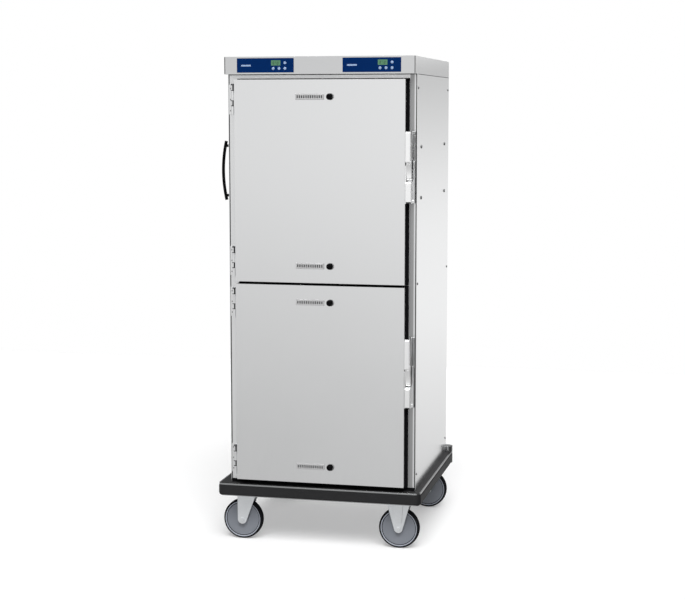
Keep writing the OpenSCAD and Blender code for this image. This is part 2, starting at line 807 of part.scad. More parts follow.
module upper_door_skin() door_skin(upper_mid);
module lower_door_skin() door_skin(lower_mid);
module upper_door_liner() door_liner(upper_mid);
module lower_door_liner() door_liner(lower_mid);
module upper_door_seal() door_seal(upper_mid, door_gap / 2 - 1);
module lower_door_seal() door_seal(lower_mid, seal_out);
module upper_latch_body() latch_body(upper_mid);
module lower_latch_body() latch_body(lower_mid);
module upper_latch_lever() latch_lever(upper_mid);
module lower_latch_lever() latch_lever(lower_mid);
module upper_vent_bars() vent_bars(upper_mid);
module lower_vent_bars() vent_bars(lower_mid);
module upper_vent_top_shutter() shutter(upper_mid, 1);
module upper_vent_bottom_shutter() shutter(upper_mid, -1);
module lower_vent_top_shutter() shutter(lower_mid, 1);
module lower_vent_bottom_shutter() shutter(lower_mid, -1);

// Casters

// A flat mounting plate with its four bolt heads.
module caster_plate() {
    translate([-plate_x / 2, -plate_y / 2, base_z - caster_plate_t]) cube([plate_x, plate_y, caster_plate_t]);
    for (x = [-1, 1], y = [-1, 1])
        translate([x * (plate_x / 2 - 12), y * (plate_y / 2 - 11), base_z - caster_plate_t - 5])
            cylinder(r = 7.5, h = 5, $fn = 6);
}

module swivel_plates() {
    color("silver") place() for (side = [-1, 1]) translate([-caster_x, caster_y(side), 0]) {
        caster_plate();
        translate([0, 0, race_z]) cylinder(r = crown_r - 1, h = base_z - caster_plate_t - race_z);
        translate([0, 0, crown_z - crown_t - seat_gap])
            cylinder(r = kingpin_r, h = race_z - crown_z + crown_t + seat_gap);
        translate([0, 0, crown_z - crown_t - seat_gap - 4]) cylinder(r = 12, h = 4);
    }
}

// One side of a fork, seen along Y: a round foot on the axle and straight edges up to the crown.
module leg_profile(low_x, high_x, top_up, foot_r) {
    hull() {
        circle(r = foot_r, $fn = 32);
        translate([low_x, top_up - 1]) square([high_x - low_x, 1]);
    }
}

// A leg on each side of a wheel at the origin of the axle.
module fork_legs(low_x, high_x, top_up, foot_r) {
    for (side = [-1, 1])
        translate([0, side * (fork_gap + leg_t) / 2, 0]) rotate([90, 0, 0])
            translate([0, 0, -leg_t / 2]) linear_extrude(leg_t) difference() {
                leg_profile(low_x, high_x, top_up, foot_r);
                circle(r = axle_d / 2);
            }
}

module swivel_fork(side) {
    up = crown_z - wheel_d / 2;
    foot_r = 18;
    color("lightsteelblue") place() translate([-caster_x, caster_y(side), 0]) difference() {
        union() {
            translate([-trail, 0, wheel_d / 2]) fork_legs(-foot_r - 1, trail + 18, up - 3, foot_r);
            translate([-trail - foot_r - 1, -fork_w / 2, crown_z - crown_t])
                cube([2 * trail + foot_r - trail + 19, fork_w, 5]);
            translate([0, 0, crown_z - crown_t]) cylinder(r = crown_r, h = crown_t);
        }
        translate([0, 0, crown_z - crown_t - 1]) cylinder(r = kingpin_r + run_gap, h = crown_t + 2);
    }
}

module front_left_fork() swivel_fork(-1);
module rear_left_fork() swivel_fork(1);

module rigid_forks() {
    up = base_z - caster_plate_t - wheel_d / 2;
    half_top = 50;
    color("lightsteelblue") place() for (side = [-1, 1]) translate([caster_x, caster_y(side), 0]) {
        caster_plate();
        translate([0, 0, wheel_d / 2]) {
            fork_legs(-half_top, half_top, up, 17);
            for (face = [-1, 1]) translate([0, face * (fork_w / 2 + 1), 0]) rotate([90, 0, 0])
                translate([0, 0, -1]) linear_extrude(2)
                    polygon([[-13, 24], [13, 24], [20, up - 4], [-20, up - 4]]);
        }
    }
}

// A bolt through a fork at the origin, with its head in front and its nut behind.
module axle() {
    reach = fork_w / 2;
    rod_y(0, 0, axle_d / 2, -reach, reach);
    for (side = [-1, 1]) translate([0, side * (reach + 3), 0]) rotate([90, 0, 0])
        cylinder(r = axle_d * 0.85, h = 6, center = true, $fn = 6);
}

module axle_at(x, side) color("gray") place() translate([x, caster_y(side), wheel_d / 2]) axle();
module front_left_axle() axle_at(-caster_x - trail, -1);
module rear_left_axle() axle_at(-caster_x - trail, 1);
module rigid_axles() for (side = [-1, 1]) axle_at(caster_x, side);

// A wheel: rounded tread, a groove, a dished web and a hub.
module wheel_at(x, side) {
    r = wheel_d / 2;
    half = tread_w / 2;
    hub = fork_gap / 2 - 1;
    rim_r = r - 13;
    color("slategray") place() translate([x, caster_y(side), r]) rotate([90, 0, 0]) rotate_extrude($fn = 96)
        difference() {
            union() {
                translate([axle_d / 2 + run_gap, -hub]) square([13, 2 * hub]);
                translate([axle_d / 2 + run_gap, -half + 7]) square([rim_r - axle_d / 2 - run_gap, tread_w - 14]);
                translate([rim_r, -half + 1.5]) square([r - rim_r - 6, tread_w - 3]);
                translate([r - 13, -half + 7]) square([13, tread_w - 14]);
                translate([r - 11, -half + 4]) square([10, tread_w - 8]);
                for (s = [-1, 1]) translate([r - 7, s * (half - 7)]) circle(r = 7, $fn = 32);
            }
            for (s = [-1, 1]) translate([rim_r - 3, s * (half - 1)]) circle(r = 2, $fn = 16);
        }
}

module front_left_wheel() wheel_at(-caster_x - trail, -1);
module front_right_wheel() wheel_at(caster_x, -1);
module rear_left_wheel() wheel_at(-caster_x - trail, 1);
module rear_right_wheel() wheel_at(caster_x, 1);

base_frame();
bumper_rail();
bumper_vinyl();
side_panels();
rear_panel();
front_frame();
insulation();
upper_cavity();
lower_cavity();
top_cover();
control_fascia();
control_panels();
controllers();
panel_screws();
push_handles();
hinge_frame_leaves();
hinge_pins();
latch_strikes();
side_racks();
heating_elements();
mains_inlet();
upper_shelf();
lower_shelf();
upper_door_skin();
upper_door_liner();
upper_door_seal();
upper_door_leaves();
upper_latch_body();
upper_latch_lever();
upper_vent_bars();
upper_vent_top_shutter();
upper_vent_bottom_shutter();
lower_door_skin();
lower_door_liner();
lower_door_seal();
lower_door_leaves();
lower_latch_body();
lower_latch_lever();
lower_vent_bars();
lower_vent_top_shutter();
lower_vent_bottom_shutter();
left_key_1();
left_key_2();
left_key_3();
left_key_4();
right_key_1();
right_key_2();
right_key_3();
right_key_4();
swivel_plates();
rigid_forks();
rigid_axles();
front_left_fork();
rear_left_fork();
front_left_axle();
rear_left_axle();
front_left_wheel();
front_right_wheel();
rear_left_wheel();
rear_right_wheel();
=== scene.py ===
"""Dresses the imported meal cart: finishes, small parts, floor, lamps and camera."""

import json
import math

import bmesh
import bpy
from bpy.props import FloatProperty, FloatVectorProperty, IntProperty, PointerProperty
from mathutils import Matrix, Vector


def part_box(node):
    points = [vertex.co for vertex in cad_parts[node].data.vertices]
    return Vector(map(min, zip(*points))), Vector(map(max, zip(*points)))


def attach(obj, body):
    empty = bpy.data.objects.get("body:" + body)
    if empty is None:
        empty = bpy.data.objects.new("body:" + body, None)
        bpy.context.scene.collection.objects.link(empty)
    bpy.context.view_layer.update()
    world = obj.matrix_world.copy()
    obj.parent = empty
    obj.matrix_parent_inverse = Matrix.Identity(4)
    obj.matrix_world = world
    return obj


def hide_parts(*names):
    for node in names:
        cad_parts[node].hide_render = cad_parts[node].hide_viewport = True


bl_info = {
    "name": "Meal Cart Dressing",
    "version": (1, 0, 0),
    "blender": (4, 5, 0),
    "location": "View3D > Sidebar > Cart",
    "description": "Gives the enclosed meal cart its finishes and its small parts",
    "category": "Object",
}

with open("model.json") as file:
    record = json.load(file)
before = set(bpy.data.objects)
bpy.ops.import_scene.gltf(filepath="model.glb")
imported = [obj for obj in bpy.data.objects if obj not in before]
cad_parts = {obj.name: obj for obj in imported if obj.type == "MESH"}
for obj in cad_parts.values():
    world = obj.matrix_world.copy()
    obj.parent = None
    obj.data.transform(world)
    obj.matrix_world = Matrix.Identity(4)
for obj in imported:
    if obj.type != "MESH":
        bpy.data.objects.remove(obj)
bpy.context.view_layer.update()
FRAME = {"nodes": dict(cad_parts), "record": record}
MM = 0.001
DOORS = ("upper", "lower")
LEFT_CASTERS = ("front_left", "rear_left")
RIGHT_CASTERS = ("front_right", "rear_right")


def size_prop(name, text, default, low=0.0, high=10.0):
    """A length in metres that a user may change."""
    return FloatProperty(name=name, description=text, default=default, min=low, max=high,
                         subtype="DISTANCE", unit="LENGTH", precision=4)


def level_prop(name, text, default, high=3.0):
    """A plain amount, such as a level of light, that a user may change."""
    return FloatProperty(name=name, description=text, default=default, min=0.0, max=high)


def angle_prop(name, text, degrees):
    """An angle that a user may change, with its default given in degrees."""
    return FloatProperty(name=name, description=text, default=math.radians(degrees),
                         subtype="ANGLE", unit="ROTATION")


def count_prop(name, text, default, low, high):
    """A number of copies, steps or sides that a user may change."""
    return IntProperty(name=name, description=text, default=default, min=low, max=high)


def colour_prop(name, text, default):
    """A colour that a user may change."""
    return FloatVectorProperty(name=name, description=text, default=default, min=0.0, max=1.0,
                               size=3, subtype="COLOR")


class CartFinishes(bpy.types.PropertyGroup):
    """Colours of the cart's finishes."""

    shell: colour_prop("Shell steel", "Satin stainless steel outside", (0.80, 0.805, 0.81))
    # A darker copy of the shell steel: painted shade on the control housing.
    housing: colour_prop("Housing steel", "Satin steel of the control housing", (0.655, 0.66, 0.665))
    liner: colour_prop("Liner steel", "Plain stainless steel inside", (0.62, 0.625, 0.63))
    rail: colour_prop("Bumper rail", "Dull aluminium of the bumper's rail", (0.40, 0.405, 0.41))
    vinyl: colour_prop("Bumper insert", "Black vinyl of the bumper", (0.016, 0.016, 0.017))
    # The seal's black also paints the shade in gaps, seams, strips and screw recesses.
    seal: colour_prop("Door seal", "Black rubber round the doors", (0.008, 0.008, 0.009))
    overlay: colour_prop("Control overlay", "Navy film of the control panels", (0.0005, 0.021, 0.112))
    display: colour_prop("Display", "Green of the lit displays", (0.06, 0.17, 0.09))
    key: colour_prop("Keys", "Pale blue of the keys", (0.32, 0.44, 0.66))
    latch: colour_prop("Latches", "Bright cast metal of the latches", (0.96, 0.962, 0.965))
    vent: colour_prop("Vent bars", "Grey metal of the vent bars", (0.62, 0.62, 0.625))
    plastic: colour_prop("Black plastic", "Handles, knobs and inlet", (0.004, 0.004, 0.0045))
    zinc: colour_prop("Zinc plate", "Forks and caster plates", (0.76, 0.78, 0.80))
    wheel: colour_prop("Wheel disc", "Blue-grey moulding of the wheels", (0.205, 0.220, 0.250))
    tyre: colour_prop("Tread", "Dark tread of the wheels", (0.012, 0.012, 0.014))
    screw: colour_prop("Screws", "Plain steel of screws and pins", (0.15, 0.152, 0.155))
    chrome: colour_prop("Chrome", "Chromed wire of the shelves", (0.78, 0.78, 0.79))
    wool: colour_prop("Insulation", "Mineral wool round the compartments", (0.55, 0.48, 0.26))
    element: colour_prop("Heating elements", "Heated metal under the compartments", (0.16, 0.13, 0.11))
    board: colour_prop("Controllers", "Cases behind the control panels", (0.03, 0.06, 0.05))


class CartEdges(bpy.types.PropertyGroup):
    """Roundings of edges and counts of small shapes."""

    sheet: size_prop("Sheet edges", "Rounding of folded sheet edges", 0.0012, high=0.01)
    rubber: size_prop("Rubber edges", "Rounding of rubber and vinyl edges", 0.0030, high=0.01)
    small: size_prop("Small edges", "Rounding of hinges and brackets", 0.0008, high=0.01)
    steps: count_prop("Rounding steps", "Segments of each rounding", 2, 1, 6)
    turns: count_prop("Wheel sides", "Sides of a turned wheel", 96, 24, 128)
    flutes: count_prop("Knob flutes", "Grip flutes round a vent knob", 18, 8, 36)
    wires: count_prop("Shelf wires", "Wires of a shelf from front to rear", 24, 8, 40)


class CartDetails(bpy.types.PropertyGroup):
    """Sizes of the small parts."""

    # These two size the black pieces that paint the shade in gaps and seams.
    line: size_prop("Dark lines", "Thickness of the pieces that show a dark gap", 0.0003, high=0.001)
    shadow_gap: size_prop("Shadow gap", "Height of the gap under the housing", 0.0024, high=0.01)
    rail_edge: size_prop("Rail edge", "Bright edge of the rail round its black cover", 0.007, high=0.02)
    screw_stand: size_prop("Screw heads", "Height of a panel screw's head", 0.0024, high=0.01)
    knob: size_prop("Knob radius", "Radius of a vent knob", 0.012, high=0.03)
    window_width: size_prop("Display width", "Width of a lit display", 0.037, high=0.1)
    window_height: size_prop("Display height", "Height of a lit display", 0.020, high=0.05)
    badge_width: size_prop("Badge width", "Width of the plain bar on a panel", 0.038, high=0.1)
    badge_height: size_prop("Badge height", "Height of the plain bar on a panel", 0.006, high=0.03)
    tread: size_prop("Tread", "Half of a wheel's width", 0.018, high=0.04)
    tyre_depth: size_prop("Tyre depth", "Depth of a wheel's tyre over its rim", 0.012, high=0.03)
    shelf_rim: size_prop("Shelf rim", "Radius of a shelf's outer rod", 0.003, high=0.01)
    shelf_wire: size_prop("Shelf wire", "Radius of a shelf's cross wires", 0.002, high=0.01)


class CartStage(bpy.types.PropertyGroup):
    """Camera, lamps and floor."""

    camera_x: size_prop("Camera X", "Camera's place across the front", 1.4304, -20.0, 20.0)
    camera_y: size_prop("Camera Y", "Camera's place in depth", -6.1240, -20.0, 20.0)
    camera_z: size_prop("Camera height", "Camera's height above the floor", 1.6964)
    yaw: angle_prop("Yaw", "Turn of the camera to the left", 13.02)
    pitch: angle_prop("Pitch", "Tilt of the camera below the horizon", 6.94)
    lens: FloatProperty(name="Lens", description="Focal length in millimetres on a 36 mm sensor",
                        default=81.69, min=10.0, max=300.0, subtype="DISTANCE_CAMERA", unit="CAMERA")
    sky: level_prop("Sky level", "Light of the surroundings on dull surfaces", 0.34)
    ceiling: level_prop("Front ceiling level", "Light of the ceiling in front as metal shows it", 0.80)
    rear_ceiling: level_prop("Rear ceiling level", "Light of the ceiling behind as metal shows it", 0.38)
    flank: level_prop("Right flank level", "Dark side of the room as metal shows it", 0.10)
    sun: level_prop("Main lamp", "Strength of the broad main lamp", 2.75, 20.0)
    rear: FloatProperty(name="Rear lamp", description="Power of the lamp over the floor behind",
                        default=25.0, min=0.0, max=2000.0, subtype="POWER", unit="POWER")
    floor: colour_prop("Floor", "Colour of the floor", (0.62, 0.62, 0.622))
    paper: colour_prop("Floor as seen", "Colour of the floor where the camera sees it",
                       (0.77, 0.77, 0.772))
    lift: level_prop("Floor lift", "Light added to the floor where the camera sees it", 0.26, 1.0)


def finishes():
    """The colours in use."""
    return bpy.context.scene.cart_finishes


def edges():
    """The roundings and counts in use."""
    return bpy.context.scene.cart_edges


def details():
    """The small parts' sizes in use."""
    return bpy.context.scene.cart_details


def stage():
    """The camera, lamp and floor values in use."""
    return bpy.context.scene.cart_stage


# Node groups that several finishes share


def new_group(name, inputs, outputs):
    """An empty shader node group with named sockets, and its in and out nodes."""
    group = bpy.data.node_groups.new(name, "ShaderNodeTree")
    for label, kind, default in inputs:
        socket = group.interface.new_socket(label, in_out="INPUT", socket_type=kind)
        socket.default_value = default
    for label, kind in outputs:
        group.interface.new_socket(label, in_out="OUTPUT", socket_type=kind)
    return group, group.nodes.new("NodeGroupInput"), group.nodes.new("NodeGroupOutput")


def add_node(tree, kind, values=None, **settings):
    """A node with its settings and its unlinked sockets' values."""
    made = tree.nodes.new(kind)
    for label, value in settings.items():
        setattr(made, label, value)
    for label, value in (values or {}).items():
        made.inputs[label].default_value = value
    return made


def wear_group():
    """Smudges and fine grain: colour, roughness and a height from Object coordinates."""
    name = "Grain and smudges"
    if name in bpy.data.node_groups:
        return bpy.data.node_groups[name]
    group, into, out = new_group(
        name,
        [("Color", "NodeSocketColor", (0.8, 0.8, 0.8, 1.0)),
         ("Stretch", "NodeSocketVector", (1.0, 1.0, 1.0)),
         ("Grain scale", "NodeSocketFloat", 400.0),
         ("Grain", "NodeSocketFloat", 0.06),
         ("Smudge scale", "NodeSocketFloat", 3.0),
         ("Smudge", "NodeSocketFloat", 0.06),
         ("Roughness", "NodeSocketFloat", 0.35)],
        [("Color", "NodeSocketColor"), ("Roughness", "NodeSocketFloat"),
         ("Height", "NodeSocketFloat")])
    link = group.links.new
    place = add_node(group, "ShaderNodeTexCoord")
    stretch = add_node(group, "ShaderNodeVectorMath", operation="MULTIPLY")
    link(place.outputs["Object"], stretch.inputs[0])
    link(into.outputs["Stretch"], stretch.inputs[1])
    fine = add_node(group, "ShaderNodeTexNoise", {"Detail": 2.0, "Roughness": 0.6})
    link(stretch.outputs[0], fine.inputs["Vector"])
    link(into.outputs["Grain scale"], fine.inputs["Scale"])
    broad = add_node(group, "ShaderNodeTexNoise", {"Detail": 3.0, "Roughness": 0.55})
    link(place.outputs["Object"], broad.inputs["Vector"])
    link(into.outputs["Smudge scale"], broad.inputs["Scale"])

    def centred(noise, amount):
        """A noise about zero, times an amount."""
        shift = add_node(group, "ShaderNodeMath", {1: 0.5}, operation="SUBTRACT")
        link(noise.outputs["Fac"], shift.inputs[0])
        scaled = add_node(group, "ShaderNodeMath", operation="MULTIPLY")
        link(shift.outputs[0], scaled.inputs[0])
        link(into.outputs[amount], scaled.inputs[1])
        return scaled

    fine_part = centred(fine, "Grain")
    broad_part = centred(broad, "Smudge")
    both = add_node(group, "ShaderNodeMath", operation="ADD")
    link(fine_part.outputs[0], both.inputs[0])
    link(broad_part.outputs[0], both.inputs[1])
    level = add_node(group, "ShaderNodeMath", {1: 1.0}, operation="ADD")
    link(both.outputs[0], level.inputs[0])
    tint = add_node(group, "ShaderNodeVectorMath", operation="SCALE")
    link(into.outputs["Color"], tint.inputs[0])
    link(level.outputs[0], tint.inputs["Scale"])
    link(tint.outputs[0], out.inputs["Color"])
    rough = add_node(group, "ShaderNodeMath", operation="ADD", use_clamp=True)
    link(into.outputs["Roughness"], rough.inputs[0])
    link(both.outputs[0], rough.inputs[1])
    link(rough.outputs[0], out.inputs["Roughness"])
    link(fine.outputs["Fac"], out.inputs["Height"])
    return group


GRAIN_DEPTH = 0.0004


def finish_material(name, colour, metallic, roughness, grain=(400.0, 0.05), stretch=(1.0, 1.0, 1.0),
                    smudge=(3.0, 0.05), bump=0.05, specular=0.5):
    """A material with grain and smudges, each a scale and an amount, from the shared group.

    Its name starts with finish_, because the frame has plain materials under the bare names.
    """
    name = "finish_" + name
    if name in bpy.data.materials:
        return bpy.data.materials[name]
    made = bpy.data.materials.new(name)
    made.use_nodes = True
    tree = made.node_tree
    shader = tree.nodes["Principled BSDF"]
    shader.inputs["Metallic"].default_value = metallic
    shader.inputs["Specular IOR Level"].default_value = specular
    wear = add_node(tree, "ShaderNodeGroup", node_tree=wear_group())
    for label, value in (("Color", (*colour, 1.0)), ("Stretch", stretch), ("Grain scale", grain[0]),
                         ("Grain", grain[1]), ("Smudge scale", smudge[0]), ("Smudge", smudge[1]),
                         ("Roughness", roughness)):
        wear.inputs[label].default_value = value
    raised = add_node(tree, "ShaderNodeBump", {"Strength": bump, "Distance": GRAIN_DEPTH})
    tree.links.new(wear.outputs["Color"], shader.inputs["Base Color"])
    tree.links.new(wear.outputs["Roughness"], shader.inputs["Roughness"])
    tree.links.new(wear.outputs["Height"], raised.inputs["Height"])
    tree.links.new(raised.outputs["Normal"], shader.inputs["Normal"])
    made.diffuse_color = (*colour, 1.0)
    return made


VERTICAL_BRUSH = (1.0, 1.0, 0.02)
CROSS_BRUSH = (0.02, 1.0, 1.0)


def shaded(colour, share):
    """A colour made darker or lighter, and no brighter than white."""
    return [min(1.0, share * channel) for channel in colour]


def brushed_steel(name, colour, roughness, grain=0.07, stretch=VERTICAL_BRUSH, smudge=(1.3, 0.06),
                  bump=0.06):
    """Stainless steel with a fine brushed grain."""
    return finish_material(name, colour, 1.0, roughness, (900.0, grain), stretch, smudge, bump)


def shell_steel():
    return brushed_steel("shell_steel", finishes().shell, 0.24)


def side_steel():
    return brushed_steel("side_steel", finishes().shell, 0.17, grain=0.05, smudge=(1.1, 0.04),
                         bump=0.05)


def frame_steel():
    return brushed_steel("frame_steel", finishes().shell, 0.36, smudge=(3.0, 0.08))


# The shell steel at 0.82 of its colour: painted shade on the housing's top cover.
def cover_steel():
    return brushed_steel("cover_steel", shaded(finishes().shell, 0.82), 0.24, stretch=CROSS_BRUSH)


# Half as bright as the shell steel: painted shade and painted reflection beside the latches.
def stile_steel():
    return brushed_steel("stile_steel", shaded(finishes().shell, 0.50), 0.40, smudge=(3.0, 0.10))


# The housing's darker colour is painted shade on its front.
def housing_steel():
    return brushed_steel("housing_steel", finishes().housing, 0.30, stretch=CROSS_BRUSH,
                         smudge=(2.2, 0.08))


def hinge_steel():
    return brushed_steel("hinge_steel", finishes().shell, 0.30, grain=0.06, smudge=(15.0, 0.10))


def liner_steel():
    return finish_material("liner_steel", finishes().liner, 1.0, 0.30, (500.0, 0.05),
                           CROSS_BRUSH, (2.0, 0.08), 0.05)


def rail_metal():
    return finish_material("rail_metal", finishes().rail, 1.0, 0.18, (700.0, 0.06),
                           CROSS_BRUSH, (6.0, 0.10), 0.05)


def vent_metal():
    return finish_material("vent_metal", finishes().vent, 0.9, 0.34, (900.0, 0.08),
                           CROSS_BRUSH, (18.0, 0.10), 0.08)


def latch_cast():
    return finish_material("latch_cast", finishes().latch, 0.95, 0.24, (700.0, 0.04),
                           smudge=(25.0, 0.05), bump=0.06)


def zinc_plate():
    return finish_material("zinc_plate", finishes().zinc, 0.9, 0.38, (120.0, 0.10),
                           smudge=(22.0, 0.14), bump=0.10)


def screw_steel():
    return finish_material("screw_steel", finishes().screw, 1.0, 0.34, (500.0, 0.10),
                           smudge=(40.0, 0.12), bump=0.08)


def wire_chrome():
    return finish_material("wire_chrome", finishes().chrome, 1.0, 0.14, (300.0, 0.03),
                           smudge=(14.0, 0.05), bump=0.03)


def element_metal():
    return finish_material("element_metal", finishes().element, 0.9, 0.45, (300.0, 0.15),
                           smudge=(30.0, 0.3), bump=0.12)


def bumper_vinyl():
    return finish_material("bumper_vinyl", finishes().vinyl, 0.0, 0.55, (260.0, 0.25),
                           smudge=(9.0, 0.25), bump=0.25, specular=0.2)


# Black rubber for the door seals, and for the pieces that paint shade in gaps and recesses.
def seal_rubber():
    return finish_material("seal_rubber", finishes().seal, 0.0, 0.60, (500.0, 0.2),
                           smudge=(12.0, 0.2), bump=0.15, specular=0.0)


def tyre_rubber():
    return finish_material("tyre_rubber", finishes().tyre, 0.0, 0.62, (300.0, 0.25),
                           smudge=(20.0, 0.35), bump=0.25, specular=0.0)


def overlay_film():
    return finish_material("overlay_film", finishes().overlay, 0.0, 0.50, (1200.0, 0.10),
                           smudge=(20.0, 0.20), bump=0.03, specular=0.04)


def key_plastic():
    return finish_material("key_plastic", finishes().key, 0.0, 0.35, (900.0, 0.05),
                           smudge=(60.0, 0.06), bump=0.03)


def black_plastic():
    return finish_material("black_plastic", finishes().plastic, 0.0, 0.42, (900.0, 0.2),
                           smudge=(25.0, 0.2), bump=0.18, specular=0.02)


def wheel_moulding():
    return finish_material("wheel_moulding", finishes().wheel, 0.0, 0.38, (500.0, 0.08),
                           smudge=(18.0, 0.12), bump=0.10)


def wheel_rim():
    return finish_material("wheel_rim", shaded(finishes().wheel, 1.9), 0.0, 0.40, (500.0, 0.08),
                           smudge=(18.0, 0.12), bump=0.10)


def mineral_wool():
    return finish_material("mineral_wool", finishes().wool, 0.0, 0.95, (300.0, 0.5),
                           smudge=(20.0, 0.3), bump=0.6)


def board_case():
    return finish_material("board_case", finishes().board, 0.0, 0.5, (400.0, 0.1),
                           smudge=(20.0, 0.1), bump=0.1)


def display_glass():
    """A lit green display with faint cells."""
    name = "display_glass"
    if name in bpy.data.materials:
        return bpy.data.materials[name]
    made = bpy.data.materials.new(name)
    made.use_nodes = True
    tree = made.node_tree
    shader = tree.nodes["Principled BSDF"]
    shader.inputs["Roughness"].default_value = 0.16
    shader.inputs["Emission Strength"].default_value = 0.35
    place = add_node(tree, "ShaderNodeTexCoord")
    cells = add_node(tree, "ShaderNodeTexNoise", {"Scale": 160.0, "Detail": 1.0})
    ramp = add_node(tree, "ShaderNodeValToRGB")
    for stop, share in zip(ramp.color_ramp.elements, (0.75, 1.25)):
        stop.color = (*shaded(finishes().display, share), 1.0)
    tree.links.new(place.outputs["Object"], cells.inputs["Vector"])
    tree.links.new(cells.outputs["Fac"], ramp.inputs["Fac"])
    tree.links.new(ramp.outputs["Color"], shader.inputs["Base Color"])
    tree.links.new(ramp.outputs["Color"], shader.inputs["Emission Color"])
    return made


# Shapes

SMOOTH_BELOW = math.radians(32.0)
ROUND_ABOVE = math.radians(40.0)
FLAT_BELOW = math.radians(0.6)
MERGE_DISTANCE = 0.00002


def smooth_by_angle(bm):
    """Smooths faces, and keeps edges over the limit sharp."""
    for face in bm.faces:
        face.smooth = True
    for edge in bm.edges:
        edge.smooth = len(edge.link_faces) == 2 and edge.calc_face_angle(0.0) < SMOOTH_BELOW


def bring_in(bm, name, body, materials, replaces=(), turn_out=True):
    """Makes a finished piece of a bmesh, on its body and with its materials."""
    if turn_out:
        bmesh.ops.recalc_face_normals(bm, faces=bm.faces[:])
    smooth_by_angle(bm)
    mesh = bpy.data.meshes.new(name)
    bm.to_mesh(mesh)
    bm.free()
    for material in materials:
        mesh.materials.append(material)
    piece = bpy.data.objects.new(name, mesh)
    bpy.context.scene.collection.objects.link(piece)
    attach(piece, body)
    if replaces:
        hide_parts(*replaces)
    return piece


def painted_shade_piece(bm, name, body="cabinet"):
    """A finished piece in the black seal rubber, painted in as the shade of a gap, seam or groove."""
    return bring_in(bm, name, body, [seal_rubber()])


def node_body(node):
    """The body that the record puts a node on."""
    for body, members in FRAME["record"]["behaviour"]["bodies"].items():
        if node in members:
            return body
    raise RuntimeError("no body for " + node)


def repaint(node, material):
    """Gives a CAD node that is shown as it is one finish all over."""
    materials = FRAME["nodes"][node].data.materials
    materials.clear()
    materials.append(material)


def merged_copy(node):
    """A bmesh of a CAD node's triangles with their shared corners merged."""
    bm = bmesh.new()
    bm.from_mesh(FRAME["nodes"][node].data)
    bmesh.ops.remove_doubles(bm, verts=bm.verts[:], dist=MERGE_DISTANCE)
    return bm


def eased(node, material, width, flats=True):
    """A CAD node's own form with its sharp edges rounded over.

    Its flats are merged first. The front frame's are not, because one of them has windows in it.
    """
    bm = merged_copy(node)
    if flats:
        bmesh.ops.dissolve_limit(bm, angle_limit=FLAT_BELOW, verts=bm.verts[:], edges=bm.edges[:])
    piece = bring_in(bm, node + "_eased", node_body(node), [material], (node,),
                     turn_out=False)
    bevel = piece.modifiers.new("Rounded edges", "BEVEL")
    bevel.width = width
    bevel.segments = edges().steps
    bevel.limit_method = "ANGLE"
    bevel.angle_limit = ROUND_ABOVE
    bevel.harden_normals = True
    bevel.use_clamp_overlap = True


def slab(bm, low, high, chamfer=0.0):
    """A box between two corners, with its edges chamfered where a width is given."""
    low, high = Vector(low), Vector(high)
    made = bmesh.ops.create_cube(bm, size=1.0)["verts"]
    bmesh.ops.scale(bm, vec=high - low, verts=made)
    bmesh.ops.translate(bm, vec=(low + high) / 2, verts=made)
    if chamfer:
        sides = list({edge for vert in made for edge in vert.link_edges})
        bmesh.ops.bevel(bm, geom=sides, offset=chamfer, segments=1, profile=0.5, affect="EDGES",
                        material=-1)


def rod(bm, start, end, radius, sides):
    """A round bar between two points."""
    start, end = Vector(start), Vector(end)
    along = end - start
    turn = Vector((0.0, 0.0, 1.0)).rotation_difference(along).to_matrix().to_4x4()
    bmesh.ops.create_cone(bm, cap_ends=True, segments=sides, radius1=radius, radius2=radius,
                          depth=along.length, matrix=Matrix.Translation((start + end) / 2) @ turn)


def turned(bm, profile, centre, axis, sides, closed=False):
    """Spins a profile of (radius, along) pairs about an axis through a centre."""
    axis = Vector(axis).normalized()
    side = axis.orthogonal().normalized()
    centre = Vector(centre)
    ring = [bm.verts.new(centre + side * radius + axis * along) for radius, along in profile]
    pairs = list(zip(ring, ring[1:]))
    if closed:
        pairs.append((ring[-1], ring[0]))
    lines = [bm.edges.new(pair) for pair in pairs]
    bmesh.ops.spin(bm, geom=ring + lines, cent=centre, axis=axis, angle=math.tau, steps=sides,
                   use_merge=True, use_duplicate=False)
    bmesh.ops.remove_doubles(bm, verts=bm.verts[:], dist=MERGE_DISTANCE / 4)


def cross_screw(bm, at, out, radius, height):
    """A pan-head screw standing out along a direction, with its cross recess painted flat on its top in
    the second material, as painted shade.
    """
    out = Vector(out).normalized()
    profile = [(0.0, height * 0.55), (radius * 0.16, height * 0.55), (radius * 0.30, height),
               (radius * 0.62, height * 0.94), (radius * 0.90, height * 0.62), (radius, height * 0.1),
               (radius, 0.0), (0.0, 0.0)]
    turned(bm, profile, at, out, sides=20)
    top = Vector(at) + out * (height + MERGE_DISTANCE)
    side = out.orthogonal().normalized()
    for direction in (side, out.cross(side)):
        half_length = direction * radius * 0.5
        half_width = out.cross(direction) * radius * 0.10
        face = bm.faces.new([bm.verts.new(top + half_length * a + half_width * b)
                             for a, b in ((1, 1), (1, -1), (-1, -1), (-1, 1))])
        face.material_index = 1


def middle(node):
    """The middle of a node's box."""
    low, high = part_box(node)
    return (Vector(low) + Vector(high)) / 2


def solids_of(node):
    """The boxes of a CAD node's separate solids, as (low, high) pairs."""
    bm = merged_copy(node)
    seen, found = set(), []
    for start in bm.verts:
        if start in seen:
            continue
        seen.add(start)
        group, queue = [start], [start]
        while queue:
            for edge in queue.pop().link_edges:
                for other in edge.verts:
                    if other not in seen:
                        seen.add(other)
                        group.append(other)
                        queue.append(other)
        found.append((Vector([min(v.co[i] for v in group) for i in range(3)]),
                      Vector([max(v.co[i] for v in group) for i in range(3)])))
    bm.free()
    return found


# Pieces


